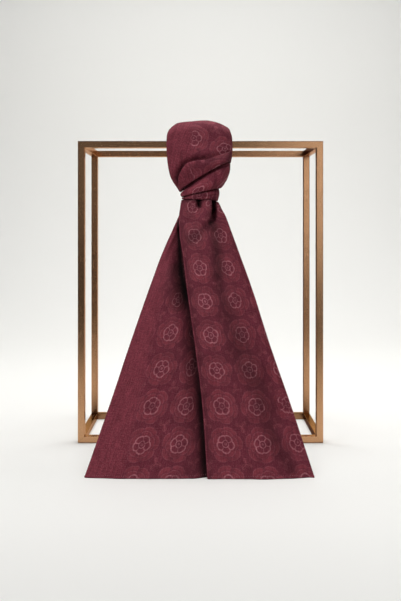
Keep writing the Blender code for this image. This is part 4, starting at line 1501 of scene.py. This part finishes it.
def build_room():
    """A dim room round the studio, which the camera alone sees pale."""
    world = bpy.data.worlds.new("dim room")
    world.use_nodes = True
    nodes = world.node_tree.nodes
    dim = nodes["Background"]
    dim.inputs["Color"].default_value = ROOM_LIGHT
    dim.inputs["Strength"].default_value = ROOM_STRENGTH
    t = Tree(world.node_tree)
    seen = t.node("ShaderNodeBackground")
    seen.inputs["Color"].default_value = ROOM_SEEN
    either = t.node("ShaderNodeMixShader")
    t.feed(either.inputs[0], t.node("ShaderNodeLightPath").outputs["Is Camera Ray"])
    t.feed(either.inputs[1], dim.outputs[0])
    t.feed(either.inputs[2], seen.outputs[0])
    t.feed(nodes["World Output"].inputs["Surface"], either.outputs[0])
    bpy.context.scene.world = world


def keep_light(light, things):
    """Let a light reach these things only."""
    lit = bpy.data.collections.new("lit by " + light.name)
    for thing in things:
        lit.objects.link(thing)
    light.light_linking.receiver_collection = lit


# ---------------------------------------------------------------- putting it together

def dress(piece, material, slot, *nodes):
    """Give a piece its material and its body, and hide the CAD nodes that it stands for. The slot is not
    used.
    """
    if material is not None:
        piece.data.materials.append(material)
    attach(piece, "root")
    if nodes:
        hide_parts(*nodes)


def stand_nodes():
    """The stand's tubes by name."""
    return {name: node for name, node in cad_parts.items() if name.startswith("stand_")}


def finish_stand(grain):
    """Better materials for the stand's tubes, with the grain along each."""
    fine, along = BRUSHED_FINE, BRUSHED_LONG
    kinds = {
        "post": bronze_material("satin bronze posts", grain, (fine, fine, along)),
        "side_rail": bronze_material("satin bronze side rails", grain, (fine, along, fine)),
        "rail": bronze_material("satin bronze rails", grain, (along, fine, fine)),
    }
    for name, node in stand_nodes().items():
        kind = next(ending for ending in kinds if name.endswith(ending))
        node.data.materials.clear()
        node.data.materials.append(kinds[kind])


build_camera()
lights = {name: area_light(name, *settings) for name, *settings in LIGHTS}
build_room()
bpy.context.scene.view_settings.view_transform = "Standard"
build_floor(floor_material())
twill = twill_group()
jacquard = jacquard_material(blossom_group(), twill)
thread = thread_material(twill)
finish_stand(grain_group())

front_cloth, front_lines = end_cloth("shawl_end_front_cloth", FRONT_END_ROWS, FRONT_END_CREASES, NECK_LAP,
                                     FRONT_END_HOLLOWS, False, FRONT_END_SHIFT)
back_cloth, back_lines = end_cloth("shawl_end_back_cloth", BACK_END_ROWS, BACK_END_CREASES, None,
                                   BACK_END_HOLLOWS, True, BACK_END_SHIFT)
cloths = [
    loop_cloth(),
    turn_cloth("shawl_wrap_cloth", WRAP_ROWS, WRAP_ROW_COUNT, WRAP_CREASES, WRAP_SEED, WRAP_SHIFT, WRAP_PAINTED_LIGHT),
    turn_cloth("shawl_knot_band_cloth", BAND_ROWS, BAND_ROW_COUNT, BAND_CREASES, BAND_SEED, BAND_SHIFT),
    inner_cloth(),
    front_cloth,
    back_cloth,
]
pieces = [cloth.shell(shut) for cloth, shut in zip(cloths, closed_in(cloths))]
for piece in pieces:
    dress(piece, jacquard, "shawl_cloth", piece.name.removesuffix("_cloth"))

keep_light(lights["cloth_key"], pieces)
keep_light(lights["stand_card"], list(stand_nodes().values()))

stitches = stitch_tree(thread)
front_hem = sew("hem_stitches_front_end", front_lines, stitches, thread)
dress(front_hem, None, "shawl_cloth")
back_hem = sew("hem_stitches_back_end", back_lines, stitches, thread)
dress(back_hem, None, "shawl_cloth")
